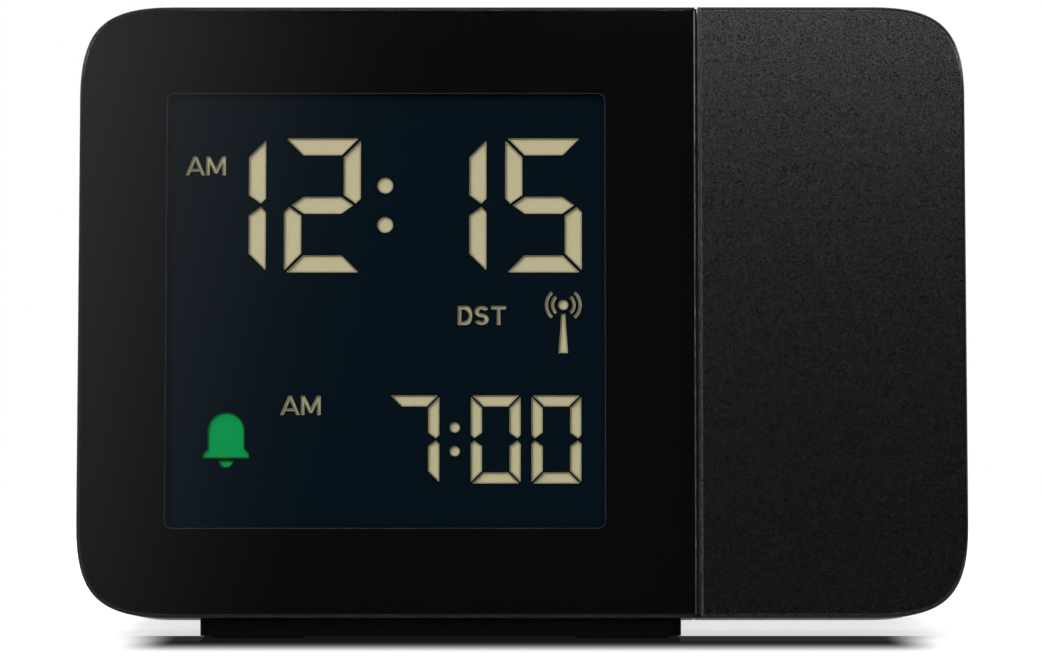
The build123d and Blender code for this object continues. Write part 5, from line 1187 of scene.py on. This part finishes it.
@dataclass
class DisplayHousing(SubAssembly):
    """Window, mask, display and the two halves of the display housing."""

    window_x: float = -20.5
    window_z: float = 0.25
    window_width: float = 66.1
    window_height: float = 65.7
    window_corner: float = 1.2
    window_back: float = 2.0
    line_gap: float = 0.02
    line_width: float = 0.14
    line_front: float = 2.04
    line_back: float = 2.18
    # Width of the dark line round each sign, which is painted shade.
    shade_halo_width: float = 0.17
    halo_rise: float = 0.02
    lip_width: float = 0.22
    bell_margin: float = 0.5
    felt_inset: float = 0.3
    felt_width: float = 2.0
    felt_thick: float = 0.28
    border_inset: float = 0.03
    border_step: float = 1.0
    border_thick: float = 0.06
    rim_front: float = 0.62
    edge_round: float = 0.6
    # Size of the light strips beside the seam, which are painted highlights.
    highlight_strip_width: float = 0.2
    bead_front: float = 0.14
    nodes: ClassVar[dict[str, str]] = {
        "front_lens": "smoked_window",
        "window_mask": "black_print",
        "display_film": "display_ink",
        "segment_sheet": "segment_bone",
        "bell_filter": "bell_green",
        "lcd_glass": "cell_glass",
        "backlight_guide": "guide_acrylic",
        "lcd_frame": "white_plastic",
        "front_frame": "case_black",
        "rear_cover": "case_black",
        "case_screws": "screw_steel",
        "main_board": "board_green",
        "board_chips": "chip_black",
        "lead_socket": "connector_white",
        "zebra_connector": "zebra_rubber",
        "board_screws": "screw_steel",
    }

    def build(self) -> None:
        """Adds the window's line, the trim of the signs' openings, the felt band of painted shade in
        the seam, the print and the painted highlights beside the seam.
        """
        self.line_window()
        self.trim_signs()
        self.lay_shade_felt()
        self.print_border()
        self.paint_seam_highlights()

    def add_band(
        self, name: str, loops: Sequence[Sequence[Vector]], slot: str, finish: str
    ) -> None:
        """Adds a ring-shaped piece that rides on the clock.

        Args:
            name: The piece's name.
            loops: World loops in order round its section.
            slot: Material slot of the record that it stands for.
            finish: Name of its finish.
        """
        self.shelf.add(name, solid_mesh(name, *closed_band(loops)), "clock", slot, finish)

    def line_window(self) -> None:
        """Draws a fine line round the display's window."""
        outer, inner = (
            [
                (self.window_x + x, self.window_z + z)
                for x, z in rounded_loop(
                    self.window_width - 2 * inset, self.window_height - 2 * inset, corner
                )
            ]
            for inset, corner in (
                (self.line_gap, self.window_corner),
                (self.line_width, self.window_corner - self.line_width),
            )
        )
        front, back = self.line_front, self.line_back
        loops = face_loops((outer, front), (outer, back), (inner, back), (inner, front))
        self.add_band("window_edge_line", loops, "black_print", "window_line")

    def trim_signs(self) -> None:
        """Draws a dark line round each lit sign as painted shade, and bevels the opening it lies in
        with strips in darker copies of the sign colours, also painted shade.
        """
        trim = OpeningTrim()
        places, rims = trim.rims(bpy.data.objects["display_film"], self.window_width / 2)
        bell = FRAME.corners_of("bell_filter")
        bell_right = max(place.x for place in bell) + self.bell_margin
        bell_top = max(place.z for place in bell) + self.bell_margin
        front = trim.film_front
        # Dark line round each opening, on the film's front: painted shade.
        halo = (
            (0.0, front),
            (0.0, front - self.halo_rise),
            (self.shade_halo_width, front - self.halo_rise),
            (self.shade_halo_width, front),
        )
        # Bevels in the openings, in darker copies of the sign colours: painted shade, with the lamp
        # lighting the lower and right bevels.
        lip = ((0.0, front), (-self.lip_width, trim.film_back - self.halo_rise / 2))
        of_bell = [
            rim
            for rim in rims
            if places[rim.start].x < bell_right and places[rim.start].z < bell_top
        ]
        of_bone = [rim for rim in rims if rim not in of_bell]
        for name, chosen, section, finish, slot in (
            ("sign_shade_halo", rims, halo, "sign_edge_shade", "display_ink"),
            ("segment_lip", of_bone, lip, "segment_edge_shade", "segment_white"),
            ("bell_lip", of_bell, lip, "bell_edge_shade", "bell_green"),
        ):
            mesh = solid_mesh(name, *trim.strips(places, chosen, section))
            self.shelf.add(name, mesh, "clock", slot, finish)

    def lay_shade_felt(self) -> None:
        """Lays a near-black felt band in the gap beside the turning projector, as painted shade that
        keeps the seam dark.
        """
        end = max(place.x for place in FRAME.corners_of("rear_cover"))
        rim = flat_outline(("front_lens", "front_frame", "rear_cover"), 0, end)
        far = self.felt_inset + self.felt_width
        loops = [
            [FRAME.place(end + across, y, z) for y, z in inset_loop(rim, inset)]
            for inset, across in (
                (self.felt_inset, 0.0),
                (self.felt_inset, self.felt_thick),
                (far, self.felt_thick),
                (far, 0.0),
            )
        ]
        self.add_band("seam_shade_felt_band", loops, "pad_rubber", "seam_shade_felt")

    def window_rim(self) -> list[Point]:
        """Outline of the window's back."""
        return flat_outline(("front_lens",), 1, self.window_back)

    def print_border(self) -> None:
        """Carries the black print out to the window's edge and its rim."""
        outer = inset_loop(stepped_loop(self.window_rim(), self.border_step), self.border_inset)
        inner = [self.opening_point(Vector(point)) for point in outer]
        wall = inset_loop(outer, self.border_thick)
        front, back = self.window_back - self.border_thick, self.window_back - self.halo_rise
        loops = face_loops(
            (outer, self.rim_front),
            (outer, back),
            (inner, back),
            (inner, front),
            (wall, front),
            (wall, self.rim_front),
        )
        self.add_band("border_print", loops, "black_print", "black_print")

    def opening_point(self, point: Vector) -> Point:
        """Place on the window's opening that is nearest to a point of the clock's face.

        Args:
            point: Place to the right and up along the face.

        Returns:
            The nearest place, in the same two directions.
        """
        middle = Vector((self.window_x, self.window_z))
        reach = Vector((self.window_width, self.window_height)) / 2
        core = [
            max(self.window_corner - far, min(far - self.window_corner, part))
            for part, far in zip(point - middle, reach)
        ]
        arm = (point - middle - Vector(core)).normalized() * self.window_corner
        return tuple(middle + Vector(core) + arm)

    def paint_seam_highlights(self) -> None:
        """Lays a thin light strip on each side of the seam, in the rounded front edges, as a painted
        highlight.
        """
        top = max(z for x, z in self.window_rim()) - self.edge_round
        # Each strip is a painted highlight along one side of the seam.
        for name, node, body, end, inward, finish in (
            ("window_end_painted_highlight", "front_lens", "clock", max, -1, "seam_highlight_bright"),
            ("projector_end_painted_highlight", "projector_shell", "projector", min, 1, "seam_highlight_dim"),
        ):
            side = end(place.x for place in FRAME.corners_of(node))
            corners = [
                FRAME.place(side + inward * across, depth, height)
                for height in (-top, top)
                for across, depth in (
                    (0.0, self.bead_front),
                    (self.highlight_strip_width, self.bead_front),
                    (self.highlight_strip_width, self.edge_round),
                    (0.0, self.edge_round),
                )
            ]
            faces = [(step, (step + 1) % 4, (step + 1) % 4 + 4, step + 4) for step in range(4)]
            faces += [(3, 2, 1, 0), (4, 5, 6, 7)]
            mesh = solid_mesh(name, corners, [face[::inward] for face in faces])
            self.shelf.add(name, mesh, body, "tin", finish)


class SnoozeBar(SubAssembly):
    """Bar on top and the switch under it."""

    nodes = {"snooze_bar": "key_black", "snooze_switch": "chip_black"}


@dataclass
class RearControls(SubAssembly):
    """Set buttons, slide knobs, sounder and inlet, with their printed signs."""

    panel_depth: float = 48.0
    panel_gap: float = 0.02
    panel_x: float = -33.0
    skin_depth: float = 50.0
    skin_gap: float = 0.01
    button_z: float = 16.5
    sign_lift: float = 4.35
    button_pitch: float = 9.0
    bay_x: float = 9.55
    alarm_z: float = -1.3
    projector_z: float = -8.3
    on_reach: float = 7.5
    off_reach: float = 7.9
    sign_reach: float = 11.4
    word_height: float = 1.15
    polarity_z: float = -23.6
    nodes: ClassVar[dict[str, str]] = {
        **{sign.value + "_button": "key_black" for sign in KeySign},
        "alarm_knob": "key_black",
        "projector_knob": "key_black",
        "slide_switches": "tin",
        "key_board": "board_green",
        "key_switches": "chip_black",
        "buzzer": "chip_black",
        "dc_socket": "chip_black",
    }

    def build(self) -> None:
        """Prints the signs of the buttons, the slide knobs and the inlet."""
        book = SignBook()
        panel = MarkSheet(self.shelf, self.panel_depth + self.panel_gap)
        for place, sign in enumerate(KeySign):
            x = self.panel_x + (place - (len(KeySign) - 1) / 2) * self.button_pitch
            drawing = book.draw(sign.name.lower())
            panel.ink(sign.value + "_mark", drawing, x, self.button_z + self.sign_lift)
        skin = MarkSheet(self.shelf, self.skin_depth + self.skin_gap)
        for name, sign, z in (
            ("alarm", "bell", self.alarm_z),
            ("projector", "beam", self.projector_z),
        ):
            for mark, drawing, reach in (
                ("_on_mark", book.word("ON", self.word_height), self.on_reach),
                ("_off_mark", book.word("OFF", self.word_height), -self.off_reach),
                ("_switch_sign", book.draw(sign), self.sign_reach),
            ):
                skin.ink(name + mark, drawing, self.bay_x + reach, z)
        skin.ink("inlet_polarity_sign", book.draw("polarity"), self.bay_x, self.polarity_z)


class BatteryBay(SubAssembly):
    """Battery box, contacts, cells and lid."""

    nodes = {
        "battery_box": "case_black",
        "battery_contacts": "tin",
        "aa_cell_upper": "cell_jacket",
        "aa_cell_lower": "cell_jacket",
        "battery_door": "case_black",
    }


class TimeAntenna(SubAssembly):
    """Ferrite rod with its winding and clips."""

    nodes = {
        "antenna_rod": "ferrite",
        "antenna_coil": "copper_wire",
        "antenna_clips": "white_plastic",
    }


class FootBlock(SubAssembly):
    """Foot with its pads and screws."""

    nodes = {"base_foot": "foot_black", "foot_pads": "pad_rubber", "foot_screws": "screw_steel"}


class Projector(SubAssembly):
    """Turning projector: shell, pivot, optics and focus ring."""

    nodes = {
        "projector_shell": "case_black",
        "projector_side_plate": "case_black",
        "pivot_shaft": "key_black",
        "pivot_washer": "bush_nylon",
        "pivot_bush": "bush_nylon",
        "pivot_clip": "clip_steel",
        "projector_tube": "black_print",
        "condenser_lens": "optic_glass",
        "projection_slide": "slide_film",
        "projector_led": "led_red",
        "led_board": "board_green",
        "projector_screws": "screw_steel",
        "projector_lead": "lead_black",
        "focus_ring": "ring_black",
        "lens_barrel": "black_print",
        "projection_lens": "optic_glass",
    }


# ------------------------------------------------------------------ studio
class RoomTree(NodeBench):
    """Node tree of the room, whose light depends on the way one looks."""

    def directions(self) -> tuple[Socket, ...]:
        """Sockets of the look's way to the right, to the back and up."""
        return self.axes(self.node("TexCoord").outputs["Generated"])

    def light(self, level: Feed) -> Socket:
        """Shader of the room at a level."""
        feeds = {"Color": level, "Strength": 1.0}
        return self.node("Background", feeds).outputs["Background"]

    def close(self, level: Socket) -> None:
        """Ends the tree with the room's light, white where the camera looks at it.

        Args:
            level: Light of the room in each direction.
        """
        path = self.node("LightPath")
        seen = self.mix(path.outputs["Is Camera Ray"], self.light(level), self.light(grey(1.0)))
        self.node("OutputWorld", {"Surface": seen})


@dataclass
class Studio:
    """Camera, lamps, floor and surroundings."""

    eye: tuple[float, float, float] = (-0.00017, -0.6556, 0.04642)
    focal: float = 146.0
    sensor: float = 36.0
    floor_half: float = 4.0
    floor_drop: float = 0.00002
    room_back: float = 0.9
    room_sky: float = 2.9
    room_ceiling: float = 0.4
    room_card: float = 0.8
    room_front: float = 0.03
    back_span: Point = (-0.5, 0.25)
    sky_span: Point = (0.245, 0.275)
    ceiling_span: Point = (0.33, 0.5)
    card_slant: float = -0.25
    card_span: Point = (0.076, 0.162)
    key_place: tuple[float, float, float] = (-0.75, -0.7, 0.8)
    key_aim: tuple[float, float, float] = (0.0, 0.0, 0.05)
    key_size: float = 0.45
    key_power: float = 9.0
    floor_white: float = 0.42
    floor_lift: float = 0.66
    floor_far: float = 0.6
    far_span: Point = (0.18, 0.6)
    floor_rough: Point = (0.5, 0.56)
    # Painted shadow: the table's glow drops to this share under the clock, over the spans below.
    painted_shadow_level: float = 0.52
    beneath_side: Point = (0.069, 0.058)
    beneath_front: Point = (-0.018, 0.026)
    painted_shadow_back: Point = (0.046, 0.03)
    # Painted reflection: a near-black glossy strip with a faint glow before the foot, placed and
    # faded by these values.
    polish_middle: float = 0.0012
    painted_reflection_reach: float = 0.0572
    painted_reflection_blur: float = 0.0045
    painted_reflection_fade: Point = (-0.028, -0.052)
    polish_foot: Point = (-0.0175, -0.0188)
    painted_reflection_grazing: Point = (0.85, 0.92)
    painted_reflection_level: float = 0.02
    painted_reflection_rough: float = 0.04
    painted_reflection_glow: float = 0.0085

    def camera(self) -> None:
        """Sets the camera level in front of the clock."""
        data = bpy.data.cameras.new("camera")
        data.lens = self.focal
        data.sensor_width = self.sensor
        data.sensor_fit = "HORIZONTAL"
        data.clip_start = 0.01
        data.clip_end = 50.0
        camera = bring_in("camera", data)
        camera.location = self.eye
        camera.rotation_euler = (math.radians(90), 0, 0)
        bpy.context.scene.camera = camera

    def key_lamp(self) -> None:
        """Adds one square soft lamp to the upper left."""
        data = bpy.data.lights.new("key", "AREA")
        data.shape = "SQUARE"
        data.size = self.key_size
        data.energy = self.key_power
        lamp = bring_in("key", data)
        lamp.location = self.key_place
        way = Vector(self.key_aim) - Vector(self.key_place)
        lamp.rotation_euler = way.to_track_quat("-Z", "Y").to_euler()

    def surroundings(self) -> None:
        """Pale room behind and above, a soft card to the left and a dark front."""
        world = bpy.data.worlds.new("room")
        bpy.context.scene.world = world
        world.use_nodes = True
        room = RoomTree(world.node_tree)
        across, away, up = room.directions()
        back = room.ruler(away, self.back_span, (0.0, self.room_back), ease=True)
        drop = (0.0, self.room_ceiling - self.room_sky)
        sky = room.math(
            "ADD",
            room.ruler(up, self.sky_span, (0.0, self.room_sky), ease=True),
            room.ruler(up, self.ceiling_span, drop, ease=True),
        )
        slant = room.math("ADD", across, room.product(up, self.card_slant))
        card = room.ruler(room.product(slant, -1.0), self.card_span, (0.0, 1.0))
        card = room.product(card, card, self.room_card)
        level = room.math("MAXIMUM", room.math("MAXIMUM", back, sky), card)
        room.close(room.math("ADD", level, self.room_front))

    def floor(self) -> None:
        """Lays a white table with a painted dark reflection close to the clock's foot and a painted
        shadow under the clock.
        """
        half, drop = self.floor_half, -self.floor_drop
        corners = [(-half, -half, drop), (half, -half, drop), (half, half, drop), (-half, half, drop)]
        mesh = solid_mesh("table_top", corners, [(0, 1, 2, 3)])
        table = bring_in("table_top", mesh)
        mesh.materials.append(self.table_finish())

    def table_finish(self) -> bpy.types.Material:
        """White table with a near-black glossy strip before the clock's foot, a painted reflection.

        Returns:
            The table's material.
        """
        tree = FinishTree("table_white")
        seen = tree.node("LightPath").outputs["Is Camera Ray"]
        rough = tree.spread(tree.noise(0.004), *self.floor_rough)
        sheet = tree.body({"Base Color": grey(self.floor_white), "Roughness": rough})
        # Glow that keeps the table white, lowered under the clock as a painted shadow.
        near = tree.both(sheet, tree.glow(1.0, tree.product(seen, self.glow_with_painted_shadow(tree))))
        far = tree.glow(1.0, tree.ruler(seen, (0.0, 1.0), (self.floor_far, 1.0)))
        reach = tree.node("VectorMath", {0: tree.place}, operation="LENGTH").outputs["Value"]
        table = tree.mix(tree.ease(reach, *self.far_span), near, far)
        mirror = {"Roughness": self.painted_reflection_rough, "Color": grey(self.painted_reflection_level)}
        gloss = tree.node("BsdfGlossy", mirror).outputs["BSDF"]
        # Painted reflection: near-black gloss plus a faint glow, in the strip before the foot.
        polished = tree.both(gloss, tree.glow(self.painted_reflection_glow))
        return tree.surface(tree.mix(self.painted_reflection_share(tree), table, polished))

    def glow_with_painted_shadow(self, tree: FinishTree) -> Socket:
        """Strength of the table's own glow, lowered under the clock as a painted shadow.

        Args:
            tree: The table's node tree.

        Returns:
            The level's socket.
        """
        across, away, _ = tree.axes(tree.place)
        # Zone of the painted shadow under the clock.
        under = tree.product(
            tree.ease(tree.math("ABSOLUTE", across), *self.beneath_side),
            tree.ease(away, *self.beneath_front),
            tree.ease(away, *self.painted_shadow_back),
        )
        return tree.ruler(under, (0.0, 1.0), (self.floor_lift, self.floor_lift * self.painted_shadow_level))

    def painted_reflection_share(self, tree: FinishTree) -> Socket:
        """Share of the painted dark reflection in the table top, which shows only at a grazing look.

        Args:
            tree: The table's node tree.

        Returns:
            The share's socket.
        """
        across, away, _ = tree.axes(tree.place)
        aside = tree.math("ABSOLUTE", tree.math("SUBTRACT", across, self.polish_middle))
        fade = tree.ease(away, *self.painted_reflection_fade)
        far, near = self.painted_reflection_reach + self.painted_reflection_blur, self.painted_reflection_reach - self.painted_reflection_blur
        grazing = tree.node("LayerWeight", {"Blend": 0.5}).outputs["Facing"]
        return tree.product(
            tree.ease(aside, far, near),
            tree.math("SUBTRACT", 1.0, tree.product(fade, fade)),
            tree.ease(away, *self.polish_foot),
            tree.ease(grazing, *self.painted_reflection_grazing),
        )

    def build(self) -> None:
        """Sets up the whole studio."""
        bpy.context.scene.view_settings.view_transform = "Standard"
        self.camera()
        self.surroundings()
        self.floor()
        self.key_lamp()


def main() -> None:
    """Loads the model, dresses every sub-assembly and sets up the studio."""
    logging.basicConfig(level=logging.INFO, format="%(name)s: %(message)s")
    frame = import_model()
    Studio().build()
    shelf = FinishShelf()
    shelf.stock()
    for assembly in (
        DisplayHousing,
        SnoozeBar,
        RearControls,
        BatteryBay,
        TimeAntenna,
        FootBlock,
        Projector,
    ):
        assembly(shelf).dress(frame["nodes"])


if __name__ == "__main__":
    main()
